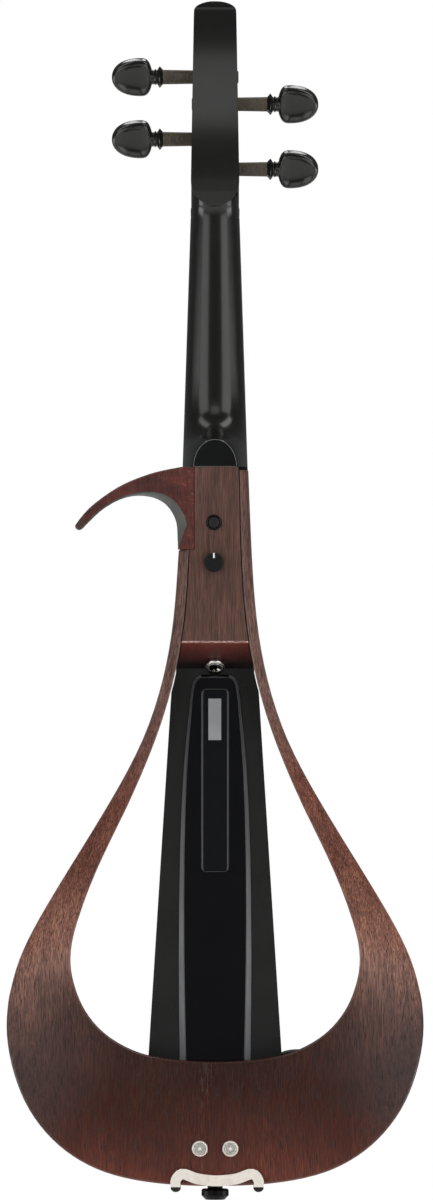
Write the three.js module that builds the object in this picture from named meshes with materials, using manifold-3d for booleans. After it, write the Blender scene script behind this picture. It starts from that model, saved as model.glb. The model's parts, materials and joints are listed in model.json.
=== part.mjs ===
// Electric violin with an open wooden frame, a slim tapered body and four strings.
// Millimetres. +X is to the right when the back faces the viewer, +Y points from the back
// to the strings, +Z points from the tail to the head. Heights are counted from the bottom
// edge of the frame and depths from the plane of its back, until the last lines move the
// whole instrument so that the place where it hangs by its neck is the origin.
import * as THREE from 'three';
import { mergeVertices } from 'three/addons/utils/BufferGeometryUtils.js';
import Module from 'manifold-3d';

const wasm = await Module();
wasm.setup();

// Gaps and cuts
const GLUE_GAP = 0.15; // between faces that are glued
const FIT_GAP = 0.3; // between pieces that seat, turn or slide in each other
const CUT_OVERRUN = 3; // how far a cut passes the face that it starts from

// Main heights
const BLOCK_TOP = 358.3; // where the neck meets the block
const NECK_LENGTH = 125; // from the block to the nut
const HEAD_LENGTH = 107.5; // from the nut to the tip of the head
const STRING_LENGTH = 327; // from the nut to the bridge
const NUT_Z = BLOCK_TOP + NECK_LENGTH;
const HEAD_TOP = NUT_Z + HEAD_LENGTH;
const headShare = (share) => NUT_Z + share * HEAD_LENGTH; // a height in the head
const BRIDGE_Z = NUT_Z - STRING_LENGTH;

// Fingerboard
const FINGERBOARD_LENGTH = 270;
const FINGERBOARD_WIDTH_AT_NUT = 24.4;
const FINGERBOARD_WIDTH_AT_END = 42;
const FINGERBOARD_EDGE = 5; // thickness at its long edges
const FINGERBOARD_RADIUS = 42; // of its arched top
const FINGERBOARD_DEPTH_AT_NUT = 31; // depth of its flat underside
const NECK_ANGLE_DEG = 4.9;

// Neck and heel
const NECK_THICKNESS = 14.5; // of the wood under the fingerboard
const NECK_BACK_FLAT = 2; // half width of the rounded back's flattest part
const HEEL_LENGTH = 33.7; // from the block to where the neck is straight
const HEEL_CAP_HALF_WIDTH = 10.8;
const HEEL_CAP_HEIGHT = 13.8;
const HEEL_CAP_THICKNESS = 1.5;
const HEEL_TAPER_SHARE = 0.4;
const CHIN_LENGTH = 5; // how far below the nut the neck's back begins to fall to the tongue
const CHIN_SHARE = 0.8; // of the way to the tongue's back that it falls
const CHIN_STEP = 0.6; // how far the tongue stands behind the neck

// Pegbox
const HEAD_HALF_WIDTH = 12.1;
const HEAD_TOP_HALF_WIDTH = 10.6;
const HEAD_TOP_ROUNDING = 5;
const TONGUE_OVERLAP = 5.4; // from the nut up to the tongue's lowest point
const HEAD_BACK_DEPTH = 6.5; // depth of the back's furthest point
const HEAD_BACK_RADIUS_SHARE = 1.58; // of the head's length
const HEAD_BACK_MIDDLE_SHARE = 0.493; // of the head's length, from the nut to that point
const HEAD_FRONT_SHARE = 0.837; // of the head's length that the pegbox's front edge takes
const HEAD_FRONT_FALL = 6.5; // how far that edge falls back
const HEAD_NOSE_DEPTH = 2.5; // from the back's top edge forward to the tip
const PEGBOX_HALF_WIDTH = 6.9; // of its hollow
const PEGBOX_START_SHARE = 0.0716; // of the head's length, from the nut to the hollow
const PEGBOX_LENGTH_SHARE = 0.744;
const PEGBOX_FLOOR = 5.6; // thickness of the wood behind the hollow

// Pegs
const PEG_PLACE_SHARES = [0.36, 0.648, 0.522, 0.2205]; // pegs e, a, d and g, of the head's length from the nut
const PEG_SIDES = { e: -1, a: -1, d: 1, g: 1 };
const PEG_DEPTH = 21.5; // of the peg nearest the nut
const PEG_DEPTH_FALL = 2.6; // how far back the furthest peg lies from that
const PEG_RADIUS_AT_COLLAR = 3.75;
const PEG_RADIUS_AT_TIP = 3.1;
const PEG_COLLAR_REACH = 26.1; // from the middle of the pegbox
const PEG_COLLAR_RADIUS = 5.4;
const PEG_COLLAR_WIDTH = 2.6;
const PEG_STEM_RADIUS = 3.9;
const PEG_STEM_LENGTH = 2.6;
const PEG_HEAD_LENGTH = 20.3;
const PEG_HEAD_HALF_WIDTH = 9.35;
const PEG_HEAD_THICKNESS = 9;
const PEG_HEAD_BEVEL = 2.6;
const PEG_HEAD_SHARES = [
  [0, 0.42], [0.055, 0.73], [0.12, 0.9], [0.2, 0.975], [0.3, 1], [0.48, 0.955], [0.65, 0.84],
  [0.8, 0.66], [0.92, 0.42], [0.985, 0.17],
];
const PEG_TILT_DEG = 22; // how far each head is turned in the photo, its top edge to the back

// Nut
const NUT_THICKNESS = 4.5;
const NUT_PROUD = 0.5; // above the fingerboard
const NUT_FALL = 1.9; // of its top towards the pegs

// Frame: a ribbon on edge beside the block that turns to face the viewer at the bottom
const FRAME_HALF_WIDTH = 104.1;
const RIBBON_TOP = 356.7; // height of the right ribbon's end
const RIBBON_DEPTH = 32; // where it stands on edge
const PLATE_THICKNESS = 9; // where it lies flat
const FRAME_EDGE = 0.9; // softening of its long edges
const HORN_JOINT = 317.2; // height of the left ribbon's end, where the horn begins
// Each row: the outer edge across and up, the inner edge across and up, as shares of the
// half width and the ribbon's height; the outer edge's setback as a share of the ribbon's
// depth; and how far the front's inner and outer edges are from plate to ribbon.
const FRAME_SHARES = [
  [0.16, 1, 0.115, 1, 0.19, 1, 1],
  [0.175, 0.888, 0.124, 0.888, 0.19, 1, 1],
  [0.199, 0.791, 0.146, 0.791, 0.19, 1, 1],
  [0.25, 0.707, 0.204, 0.6986, 0.2, 1, 1],
  [0.345, 0.623, 0.294, 0.616, 0.22, 0.96, 1],
  [0.498, 0.539, 0.424, 0.528, 0.3, 0.83, 1],
  [0.672, 0.456, 0.572, 0.439, 0.38, 0.7, 1],
  [0.846, 0.372, 0.679, 0.351, 0.46, 0.5, 0.93],
  [0.94, 0.316, 0.694, 0.309, 0.48, 0.33, 0.83],
  [0.99, 0.26, 0.668, 0.274, 0.46, 0.19, 0.72],
  [1, 0.211, 0.622, 0.244, 0.4, 0.11, 0.57],
  [0.9635, 0.1556, 0.541, 0.2156, 0.28, 0.05, 0.35],
  [0.8925, 0.1065, 0.4496, 0.1974, 0.15, 0.03, 0.17],
  [0.78, 0.0648, 0.363, 0.1862, 0.04, 0, 0.04],
  [0.6465, 0.0352, 0.3064, 0.1819, 0, 0, 0],
  [0.488, 0.0152, 0.22, 0.1777, 0, 0, 0],
  [0.263, 0.0032, 0.1153, 0.1749, 0, 0, 0],
  [0, 0, 0, 0.1738, 0, 0, 0],
];
const RINGS_PER_STATION = 2;

// Rear block
const BLOCK_DEPTH = 24;
const BLOCK_LENGTH = 86.9; // from its top to where its back turns into the slope
const SLOPE_DROP = 13.2; // from there to where the slope meets the body's back
const BLOCK_EDGE_Z = BLOCK_TOP - BLOCK_LENGTH;
const SLOPE_END = BLOCK_EDGE_Z - SLOPE_DROP;
const HORN_SEAM = 10.4; // from the middle to the seam between block and horn
const CONTROL_WALL = 3; // wood behind the controls
const CONTROL_HOLLOW_HALF_WIDTH = 7.6;
const CONTROL_HOLLOW_SHARES = [0.329, 0.801]; // its ends, of the block's length from the slope

// Horn
const HORN_REACH = 69.8; // from the middle to the tip
const HORN_TIP_DROP = 31.5; // from the block's top to the tip's end
const HORN_TIP_DEPTH = 8;
const HORN_BEVEL = 4.2; // widest part of the bevel inside the hook
const HORN_BEVEL_DEPTH = 6;
const HORN_EDGE = 0.7;
// Points across and down from the block's top, as shares of the reach and the tip's drop.
const HORN_UPPER_SHARES = [
  [0.241, 0], [0.375, 0.056], [0.476, 0.117], [0.605, 0.224], [0.698, 0.327],
  [0.804, 0.483], [0.9, 0.655], [0.968, 0.828], [1, 0.93],
];
const HORN_LOWER_SHARES = [
  [0.996, 0.968], [0.977, 1], [0.951, 0.985], [0.925, 0.926], [0.88, 0.828], [0.825, 0.711], [0.728, 0.567],
  [0.633, 0.481], [0.55, 0.455], [0.474, 0.469], [0.411, 0.509], [0.348, 0.601], [0.302, 0.74],
  [0.277, 0.879], [0.267, 1.044],
];
const HORN_BEVEL_SHARES = [0, 0, 0, 0, 0, 0, 0.04, 0.1, 0.22, 0.4, 0.62, 0.82, 0.94, 1, 1];
const HORN_ROOT_SHARE = 0.265; // where the lower edge meets the ribbon

// Body
const BODY_BACK = 20.5; // depth of its back
const BODY_FRONT = 35; // depth of its front
const SHOULDER_DROP = 12.2; // from the slope's end down to the shoulder
const BODY_HALF_WIDTH_AT_TAIL = 36.9;
const BODY_TAIL_CORNER = 7;
const BODY_TAIL = 4.2;
const TAIL_BLOCK_TOP = 52; // the thick end that the frame is bolted to
const BODY_HOLLOW_HALF_WIDTH = 15.8;
const BODY_HOLLOW_END_HALF_WIDTH = 9.2; // at its upper end
const BODY_HOLLOW_TAPER = 172; // height from which it narrows
const BODY_HOLLOW_BOTTOM = 66;
const BODY_HOLLOW_DROP = 20.2; // from the slope's end down to its upper end
const BODY_HOLLOW_FLOOR = 31; // depth where the hollow ends
const CONTACT_DROP = 7.7; // from the slope's end down to where the body leaves the ribbons

// Top plate
const TOP_EDGE = 3; // thickness at its edge
const TOP_RISE_SHARE = 0.155; // of the local half width
const TOP_END = 346; // where it ends under the fingerboard
const TOP_FADE = 55; // over this length from the tail the arch rises to its full height

// Back cover and its plate
const COVER_DROP = 3.4; // from the slope's end down to its top
const COVER_BOTTOM = 53;
const COVER_HALF_WIDTH = 18.3;
const COVER_THICKNESS = 2.4;
const COVER_BEVEL = 3.3; // at its foot
const COVER_BEVEL_TOP_SHARE = 0.4;
const COVER_SHARES = [
  [0.4, 1], [0.56, 0.992], [0.655, 0.965], [0.72, 0.91], [0.86, 0.775], [0.965, 0.567],
  [1, 0.296], [0.975, 0.049], [0.965, 0],
];
const LABEL_HALF_WIDTH = 6.35;
const LABEL_DROP = 7.6; // from the cover's top down to its own
const LABEL_LENGTH = 90.4;
const LABEL_CORNER = 1.8;
const LABEL_THICKNESS = 0.8;

// Volume control
const KNOB_SHARE = 0.4522; // its height, of the block's length from the slope
const KNOB_RADIUS = 4.8;
const KNOB_HEIGHT = 5.5;
const KNOB_EDGE = 0.6;
const KNOB_LINE_WIDTH = 1.1;
const KNOB_LINE_LENGTH = 3.3;
const KNOB_LINE_DEPTH = 0.4;
const POT_RADIUS = 6.2;
const POT_HEIGHT = 6.5;
const POT_BUSH_RADIUS = 3.2;
const POT_SHAFT_RADIUS = 1.9;
const POT_SHAFT_LENGTH = 8;
const CONTROL_X = -0.6;

// Switch
const SWITCH_SHARE = 0.6812; // its height, of the block's length from the slope
const BUTTON_RADIUS = 2.8;
const BUTTON_PROUD = 2.2;
const BUTTON_TRAVEL = 1.2;
const BUTTON_LENGTH = 7;
const BEZEL_RADIUS = 3.6;
const BEZEL_PROUD = 0.8;
const SWITCH_BODY_WIDTH = 11;
const SWITCH_BODY_DEPTH = 8;

// Output jack, square to the slope
const JACK_RISE = 2; // from the slope's end up to its axis
const JACK_RADIUS = 4;
const JACK_BORE_RADIUS = 3.2;
const JACK_BODY_RADIUS = 5.2;
const JACK_WALL = 2.5; // wood that the jack clamps
const JACK_LENGTH = 18.5;
const JACK_BORE_LENGTH = 16.5;
const JACK_PROUD = 2.7;
const JACK_NUT_RADIUS = 5.1;
const JACK_NUT_HEIGHT = 2.2;
const JACK_POCKET_RADIUS = 6;

// Frame bolts
const BOLT_Z = 18.7;
const BOLT_X = 7.6;
const BOLT_RADIUS = 2;
const BOLT_HEAD_RADIUS = 2.85;
const BOLT_HEAD_HEIGHT = 1.6;
const BOLT_SOCKET_RADIUS = 1.4;
const BOLT_SOCKET_DEPTH = 1.1;
const BOLT_LENGTH = 21;
const CUP_RADIUS = 4.05;
const CUP_HEIGHT = 1.7;
const CUP_FLOOR = 0.6;

// End button, saddle and tailgut
const BUTTON_AXIS_DEPTH = 22.5;
const END_BUTTON_NECK_RADIUS = 3.8;
const END_BUTTON_NECK_LENGTH = 6;
const END_BUTTON_RADIUS = 6.8;
const END_BUTTON_HEIGHT = 5.6;
const END_BUTTON_EDGE = 0.7;
const END_BUTTON_CHAMFER = 2.1; // at its far end
const END_BUTTON_PIN_LENGTH = 24;
const SADDLE_HALF_WIDTH = 16;
const SADDLE_THICKNESS = 6.5;
const SADDLE_HEIGHT = 10.2; // above the body's front
const GUT_RADIUS = 0.8;
const GUT_HALF_SPACING = 4.6;

// Bridge and pickups
const BRIDGE_HEIGHT = 33.4;
const BRIDGE_FOOT_HALF_WIDTH = 20.5;
const BRIDGE_FOOT_THICKNESS = 4.4;
const BRIDGE_TOP_SHARE = 0.36; // its thickness at the top
const BRIDGE_RADIUS = 42;
const BRIDGE_SIDE_SHARES = [
  [0.53, 0], [1, 0], [0.99, 0.06], [0.74, 0.125], [0.68, 0.21], [0.76, 0.3], [0.77, 0.365],
  [0.6, 0.405], [0.575, 0.48], [0.755, 0.555], [0.85, 0.66], [0.905, 0.765], [0.92, 0.86],
];
const BRIDGE_ARCH_SHARES = [[0, 0.24], [0.27, 0.195], [0.45, 0.09]];
const HEART_SHARES = [[0, 0.4], [0.16, 0.5], [0.22, 0.6], [0.13, 0.67], [0, 0.63]];
const PICKUP_INNER = 11.8;
const PICKUP_OUTER = 20.4;
const PICKUP_WIRE_X = 14;
const PICKUP_HEIGHT = 2.6;
const PICKUP_WIDTH = 5;

// Strings, from the treble side to the bass side
const STRING_NAMES = ['e', 'a', 'd', 'g'];
const STRING_RADII = { e: 0.14, a: 0.34, d: 0.4, g: 0.4 };
const NUT_SPACING = 5.4;
const BRIDGE_SPACING = 11.2;
const TAIL_SPACING = 10.2;
const STRING_LIFT = 0.1; // gap under the strings at nut and bridge
const WINDING_TURNS = 2;
const WINDING_PITCH = 1.4;
const WINDING_STEPS = 10; // for each turn
const WINDING_START_SHARE = 0.62; // of the hollow's half width
const WINDING_SAMPLES = 12; // measured on each of its straight lengths
const STRING_SIDES = 5;

// Tailpiece and fine tuners
const TAILPIECE_TOP = 103;
const TAILPIECE_BOTTOM = 13;
const TAILPIECE_HALF_WIDTH = 20.5;
const TAILPIECE_END_HALF_WIDTH = 10.5;
const TAILPIECE_THICKNESS = 3.4;
const TAILPIECE_RISE_SHARE = 0.14; // of the local half width
const TAILPIECE_DROP = 1.4; // its crest under the line of the strings
const TAILPIECE_SHARES = [[0, 0.9], [0.03, 1], [0.2, 0.86], [0.5, 0.55], [0.8, 0.2], [0.96, 0.05], [1, -0.12]];
const HOOK_Z = 97;
const PIN_Z = 92.5;
const SCREW_Z = 82.5;
const PIN_DROP = 9; // from the tailpiece's crest to the pin
const PIN_RADIUS = 0.9;
const LUG_WIDTH = 2.2;
const LUG_RADIUS = 2;
const LEVER_WIDTH = 3.2;
const LEVER_RADIUS = 2;
const LEVER_ARM = 2;
const HOOK_THICKNESS = 1.8;
const HOOK_PROUD = 1.2;
const HOOK_SWING = 3.4; // how far the hook moves in its slot
const TUNER_SHAFT_RADIUS = 1.3;
const TUNER_KNOB_RADIUS = 3.1;
const TUNER_KNOB_HEIGHT = 4.2;
const TUNER_KNOB_LIFT = 4.6; // room under the knob for its travel
const TUNER_TRAVEL = 2.6;

// Chin rest and clamp
const CLAMP_X = 1; // the clamp's middle
const POST_SPREAD = 20.6; // from the clamp's middle to a post
const POST_Z = -0.9;
const POST_RADIUS = 1.5;
const BARREL_RADIUS = 2.6;
const BARREL_BOTTOM = 12.5;
const BARREL_TOP = 37;
const FOOT_POST_REACH = 19;
const BRACKET_POST_REACH = 30;
const FOOT_THICKNESS = 2.2;
const FOOT_WIDTH = 5.4;
const FOOT_ARM_SHARE = 0.93; // its width at the posts
const FOOT_END_REACH = 1.8; // of its rounded ends below the posts' middles
const FOOT_SHOULDER_Z = 6.2;
const FOOT_MIDDLE_Z = 2.8;
const FOOT_SHOULDER_SHARE = 0.86; // of the post spread, where the shoulder is highest
const FOOT_CORK = 1;
const BRACKET_DEPTH = 53;
const BRACKET_THICKNESS = 2.2;
const BRACKET_LOW = 1.2;
const BRACKET_HIGH = 8.4;
const BRACKET_EAR_RADIUS = 2.9;
const BRACKET_SCREW_X = 9;
const BRACKET_SCREW_RADIUS = 1.3;
const BRACKET_SCREW_HEAD_RADIUS = 2.4;
const BRACKET_SCREW_HEAD_HEIGHT = 1.2;
const BRACKET_SCREW_LENGTH = 8;
const REST_UNDERSIDE = 49;
const REST_TOP = 65;
const REST_HALF_WIDTH = 82;
const REST_HEIGHT = 67;
const REST_SHARES = [
  [-0.34, 0.03], [-0.36, 0.12], [-0.3, 0.24], [-0.15, 0.32], [0.06, 0.42], [0.22, 0.62],
  [0.3, 0.86], [0.4, 0.98], [0.52, 1], [0.7, 0.97], [0.88, 0.83], [0.985, 0.62],
  [0.97, 0.42], [0.84, 0.24], [0.64, 0.12], [0.38, 0.04], [0.1, 0.012], [-0.2, 0.012],
];
const REST_BEVEL = 2.4;
const DISH_X_SHARE = 0.56; // of the rest's reach
const DISH_Z_SHARE = 0.52; // of the rest's height
const DISH_HALF_WIDTH = 31;
const DISH_HALF_HEIGHT = 29;
const DISH_DEPTH = 7.5;
const TUNNEL_HALF_WIDTH = 15.6;
const TUNNEL_TOP = 55.5;
const REST_FOOT_LOW = 9.3;
const REST_FOOT_HIGH = 17;
const REST_FOOT_INNER = 16.6;
const REST_FOOT_OUTER = 27.5;
const CORK_THICKNESS = 1.8;

// Wires inside
const WIRE_RADIUS = 0.7;
const WIRE_HOLE_RADIUS = 1.4;
const WIRE_EXIT_LOW = 3; // above the control hollow's floor
const WIRE_EXIT_HIGH = 6;
const WIRE_CHANNEL_LEFT = -8;
const WIRE_CHANNEL_RIGHT = -6;
const WIRE_CHANNEL_FLOOR = 29;

// Where it hangs
const HANGER_DISTANCE = 6; // below the nut
const HANGER_DEPTH = 24;

// Facets
const ROUND_SIDES = 24;
const SMALL_SIDES = 14;
const ARC_STEPS = 8;
const NECK_STEPS = 7;

const X_AXIS = new THREE.Vector3(1, 0, 0);
const Y_AXIS = new THREE.Vector3(0, 1, 0);
const Z_AXIS = new THREE.Vector3(0, 0, 1);
const mix = THREE.MathUtils.lerp;
const at = (x, y, z) => new THREE.Vector3(x, y, z);

const blockShare = (share) => mix(BLOCK_EDGE_Z, BLOCK_TOP, share); // a height in the block
const [CONTROL_HOLLOW_BOTTOM, CONTROL_HOLLOW_TOP] = CONTROL_HOLLOW_SHARES.map(blockShare);
const KNOB_Z = blockShare(KNOB_SHARE);
const SWITCH_Z = blockShare(SWITCH_SHARE);
const JACK_Z = SLOPE_END + JACK_RISE;
const BODY_SHOULDER = SLOPE_END - SHOULDER_DROP;
const BODY_HOLLOW_TOP = SLOPE_END - BODY_HOLLOW_DROP;
const RIBBON_CONTACT_END = SLOPE_END - CONTACT_DROP;
const COVER_TOP = SLOPE_END - COVER_DROP;
const LABEL_TOP = COVER_TOP - LABEL_DROP;
const LABEL_BOTTOM = LABEL_TOP - LABEL_LENGTH;

// Materials
const finish = (color, roughness, metalness = 0) =>
  new THREE.MeshStandardMaterial({ color, roughness, metalness });
const FINISHES = {
  blackPaint: () => finish(0x222221, 0.45),
  glossBlack: () => finish(0x111113, 0.12),
  satinBlack: () => finish(0x282826, 0.5),
  ebony: () => finish(0x2d2b28, 0.4),
  walnut: () => finish(0x563f39, 0.5),
  darkWalnut: () => finish(0x4a2f28, 0.5),
  mahogany: () => finish(0x5e3832, 0.42),
  maple: () => finish(0xcaa878, 0.55),
  spruce: () => finish(0x1d1c1b, 0.3),
  cork: () => finish(0xa98a62, 0.85),
  nickel: () => finish(0xded6cc, 0.28, 1),
  chrome: () => finish(0xd8d4cc, 0.15, 1),
  steel: () => finish(0xb8b8b8, 0.3, 1),
  blackPlastic: () => finish(0x2b2c2a, 0.55),
  greyPlate: () => finish(0x2a2c2e, 0.5),
  piezo: () => finish(0xb08a3a, 0.4, 0.6),
  wire: () => finish(0x1a1a1a, 0.6),
};

// Solids

function volumeOf(geometry) {
  const { position } = geometry.attributes;
  const order = geometry.index ? geometry.index.array : position.array.map((value, i) => i);
  const corners = [at(0, 0, 0), at(0, 0, 0), at(0, 0, 0)];
  let sum = 0;
  const count = geometry.index ? order.length : position.count;
  for (let i = 0; i < count; i += 3) {
    corners.forEach((corner, k) => corner.fromBufferAttribute(position, order[i + k]));
    sum += corners[0].dot(corners[1].clone().cross(corners[2]));
  }
  return sum / 6;
}

function merged(geometry) {
  const bare = geometry.clone();
  Object.keys(bare.attributes).filter((name) => name !== 'position')
    .forEach((name) => bare.deleteAttribute(name));
  const joined = mergeVertices(bare);
  if (volumeOf(joined) < 0) {
    const { array } = joined.index;
    for (let i = 0; i < array.length; i += 3) {
      [array[i], array[i + 1]] = [array[i + 1], array[i]];
    }
  }
  return joined;
}

function solidOf(geometry) {
  const closed = merged(geometry);
  return new wasm.Manifold(new wasm.Mesh({
    numProp: 3,
    vertProperties: Float32Array.from(closed.attributes.position.array),
    triVerts: Uint32Array.from(closed.index.array),
  }));
}

function geometryOf(solid) {
  const mesh = solid.getMesh();
  const geometry = new THREE.BufferGeometry();
  geometry.setAttribute('position', new THREE.BufferAttribute(mesh.vertProperties, 3));
  geometry.setIndex(new THREE.BufferAttribute(mesh.triVerts, 1));
  return geometry;
}

const fold = (operation) => (first, ...others) => geometryOf(
  others.flat().reduce((solid, other) => solid[operation](solidOf(other)), solidOf(first)),
);
const cut = fold('subtract');
const join = fold('add');
const common = fold('intersect');

function capOf(ring) {
  const normal = at(0, 0, 0);
  ring.forEach((point, i) => normal.add(point.clone().cross(ring[(i + 1) % ring.length])));
  const size = normal.toArray().map(Math.abs);
  const dropped = size.indexOf(Math.max(...size));
  const flat = ring.map((point) => {
    const [a, b] = [[point.y, point.z], [point.z, point.x], [point.x, point.y]][dropped];
    return new THREE.Vector2(a, b);
  });
  const faces = THREE.ShapeUtils.triangulateShape(flat, []);
  return THREE.ShapeUtils.area(flat) < 0 ? faces.map(([a, b, c]) => [a, c, b]) : faces;
}

// Skin through rings of equally many points, closed at both ends.
function loft(rings) {
  const count = rings[0].length;
  const last = (rings.length - 1) * count;
  const index = [];
  for (let r = 0; r < rings.length - 1; r += 1) {
    for (let i = 0; i < count; i += 1) {
      const a = r * count + i;
      const b = r * count + ((i + 1) % count);
      index.push(a, b, b + count, a, b + count, a + count);
    }
  }
  capOf(rings[0]).forEach(([a, b, c]) => index.push(c, b, a));
  capOf(rings[rings.length - 1]).forEach(([a, b, c]) => index.push(last + a, last + b, last + c));
  const geometry = new THREE.BufferGeometry();
  geometry.setAttribute('position', new THREE.Float32BufferAttribute(
    rings.flat().flatMap((point) => point.toArray()), 3,
  ));
  geometry.setIndex(index);
  return geometry;
}

// Straight extrusion of an outline: along x it holds [y, z], along y [x, z], along z [x, y].
function prism(outline, axis, from, to, holes = []) {
  const shape = new THREE.Shape(outline.map(([a, b]) => new THREE.Vector2(a, b)));
  shape.holes = holes.map((hole) => new THREE.Path(hole.map(([a, b]) => new THREE.Vector2(a, b))));
  const geometry = new THREE.ExtrudeGeometry(shape, { depth: to - from, bevelEnabled: false });
  const bases = {
    x: [Y_AXIS, Z_AXIS, X_AXIS],
    y: [X_AXIS, Z_AXIS, Y_AXIS.clone().negate()],
    z: [X_AXIS, Y_AXIS, Z_AXIS],
  };
  geometry.applyMatrix4(new THREE.Matrix4().makeBasis(...bases[axis]));
  return axis === 'y'
    ? geometry.translate(0, to, 0)
    : geometry.translate(axis === 'x' ? from : 0, 0, axis === 'z' ? from : 0);
}

function box(xFrom, xTo, yFrom, yTo, zFrom, zTo) {
  return new THREE.BoxGeometry(xTo - xFrom, yTo - yFrom, zTo - zFrom)
    .translate((xFrom + xTo) / 2, (yFrom + yTo) / 2, (zFrom + zTo) / 2);
}

function placedAlong(geometry, start, direction) {
  const turn = new THREE.Quaternion().setFromUnitVectors(Y_AXIS, direction.clone().normalize());
  return geometry.applyQuaternion(turn).translate(start.x, start.y, start.z);
}

function rod(radius, start, end, sides = ROUND_SIDES, endRadius = radius) {
  const way = end.clone().sub(start);
  const length = way.length();
  const cylinder = new THREE.CylinderGeometry(endRadius, radius, length, sides);
  return placedAlong(cylinder.translate(0, length / 2, 0), start, way);
}

// Turned piece: the profile holds [radius, distance along the direction].
function turned(profile, start, direction, sides = ROUND_SIDES) {
  const points = profile.map(([radius, reach]) => new THREE.Vector2(radius, reach));
  return placedAlong(new THREE.LatheGeometry(points, sides), start, direction);
}

function smooth(points, divisions) {
  const curve = new THREE.CatmullRomCurve3(
    points.map(([a, b]) => at(a, b, 0)), false, 'centripetal',
  );
  return curve.getPoints(divisions).map(({ x, y }) => [x, y]);
}

const mirrored = (points) => points.map(([a, b]) => [-a, b]).reverse();

// Route with a ring at each of its points, square to the bisector there.
class Route extends THREE.Curve {
  constructor(points) {
    super();
    this.points = points;
  }

  getPoint(t, target = at(0, 0, 0)) {
    const place = t * (this.points.length - 1);
    const i = Math.min(Math.floor(place), this.points.length - 2);
    return target.lerpVectors(this.points[i], this.points[i + 1], place - i);
  }

  getPointAt(u, target) {
    return this.getPoint(u, target);
  }

  getTangentAt(u, target = at(0, 0, 0)) {
    const i = Math.round(u * (this.points.length - 1));
    const before = this.points[Math.max(i - 1, 0)];
    const here = this.points[i];
    const after = this.points[Math.min(i + 1, this.points.length - 1)];
    const arriving = here.clone().sub(before).normalize();
    const leaving = after.clone().sub(here).normalize();
    return target.copy(arriving).add(leaving).normalize();
  }
}

function tube(points, radius, sides = STRING_SIDES) {
  const section = Array.from({ length: sides }, (_, i) => {
    const angle = (2 * Math.PI * i) / sides;
    return new THREE.Vector2(radius * Math.cos(angle), radius * Math.sin(angle));
  });
  return new THREE.ExtrudeGeometry(new THREE.Shape(section), {
    steps: points.length - 1, extrudePath: new Route(points),
  });
}

// Frame

function frameCorners([outAcross, outUp, inAcross, inUp, setback, innerFront, outerFront], side) {
  const outX = side * outAcross * FRAME_HALF_WIDTH;
  const inX = side * inAcross * FRAME_HALF_WIDTH;
  return [
    at(inX, 0, inUp * RIBBON_TOP),
    at(outX, setback * RIBBON_DEPTH, outUp * RIBBON_TOP),
    at(outX, mix(PLATE_THICKNESS, RIBBON_DEPTH, outerFront), outUp * RIBBON_TOP),
    at(inX, mix(PLATE_THICKNESS, RIBBON_DEPTH, innerFront), inUp * RIBBON_TOP),
  ];
}

function softened(corners, size) {
  return corners.flatMap((corner, i) => {
    const toward = (other) => corner.clone().add(other.clone().sub(corner).setLength(size));
    const { length } = corners;
    return [toward(corners[(i + length - 1) % length]), toward(corners[(i + 1) % length])];
  });
}

function ribbonRings(rows) {
  const edges = rows[0].map((_, k) => new THREE.CatmullRomCurve3(
    rows.map((row) => row[k]), false, 'centripetal',
  ).getPoints((rows.length - 1) * RINGS_PER_STATION));
  return edges[0].map((_, i) => edges.map((edge) => edge[i]));
}

const rightRows = FRAME_SHARES.map((row) => frameCorners(row, 1));
const leftRows = FRAME_SHARES.slice(1, -1).map((row) => frameCorners(row, -1));
leftRows[0] = leftRows[0].map((corner) => corner.clone().setZ(HORN_JOINT - FIT_GAP));
const frameRings = ribbonRings([...rightRows, ...leftRows.reverse()]);
const ribbonInside = frameRings.map((corners) => corners[0]).filter((point) => point.x > 0);

// Distance from the middle to the ribbons' inner face, at a height beside the block.
function ribbonInner(z) {
  const next = Math.max(ribbonInside.findIndex((point) => point.z < z), 1);
  const [above, below] = [ribbonInside[next - 1], ribbonInside[next]];
  return mix(above.x, below.x, (above.z - z) / (above.z - below.z));
}

// Shared surfaces

const neckSlope = Math.tan(THREE.MathUtils.degToRad(NECK_ANGLE_DEG));
const fingerboardUnderside = (z) => FINGERBOARD_DEPTH_AT_NUT + (NUT_Z - z) * neckSlope;

function fingerboardHalfWidth(z) {
  const share = (NUT_Z - z) / FINGERBOARD_LENGTH;
  const width = mix(FINGERBOARD_WIDTH_AT_NUT, FINGERBOARD_WIDTH_AT_END, Math.max(share, 0));
  return width / 2;
}

const sagitta = (radius, x) => radius - Math.sqrt(radius * radius - x * x);

function fingerboardTop(x, z) {
  const crest = sagitta(FINGERBOARD_RADIUS, fingerboardHalfWidth(z));
  return fingerboardUnderside(z) + FINGERBOARD_EDGE + crest - sagitta(FINGERBOARD_RADIUS, x);
}

// The body's sides run straight from the tail to where it touches the ribbons.
function bodyHalfWidth(z) {
  const share = (z - BODY_TAIL_CORNER) / (BODY_SHOULDER - BODY_TAIL_CORNER);
  return mix(BODY_HALF_WIDTH_AT_TAIL, ribbonInner(BODY_SHOULDER) - FIT_GAP, share);
}

function topPlateSurface(x, z) {
  const half = bodyHalfWidth(z);
  const along = THREE.MathUtils.clamp((z - BODY_TAIL) / TOP_FADE, 0, 1);
  const rise = TOP_RISE_SHARE * half * Math.sin((Math.PI / 2) * along);
  return BODY_FRONT + TOP_EDGE + rise * (1 - (x / half) ** 2);
}

const bridgeFootDepth = topPlateSurface(PICKUP_INNER, BRIDGE_Z) + FIT_GAP;
const bridgeCrest = bridgeFootDepth + BRIDGE_HEIGHT;
const bridgeTop = (x) => bridgeCrest - sagitta(BRIDGE_RADIUS, x);
const nutTop = (x) => fingerboardTop(x, NUT_Z) + NUT_PROUD;
const saddleTop = BODY_FRONT + SADDLE_HEIGHT;

const gutTop = saddleTop + GUT_RADIUS + FIT_GAP;

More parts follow.
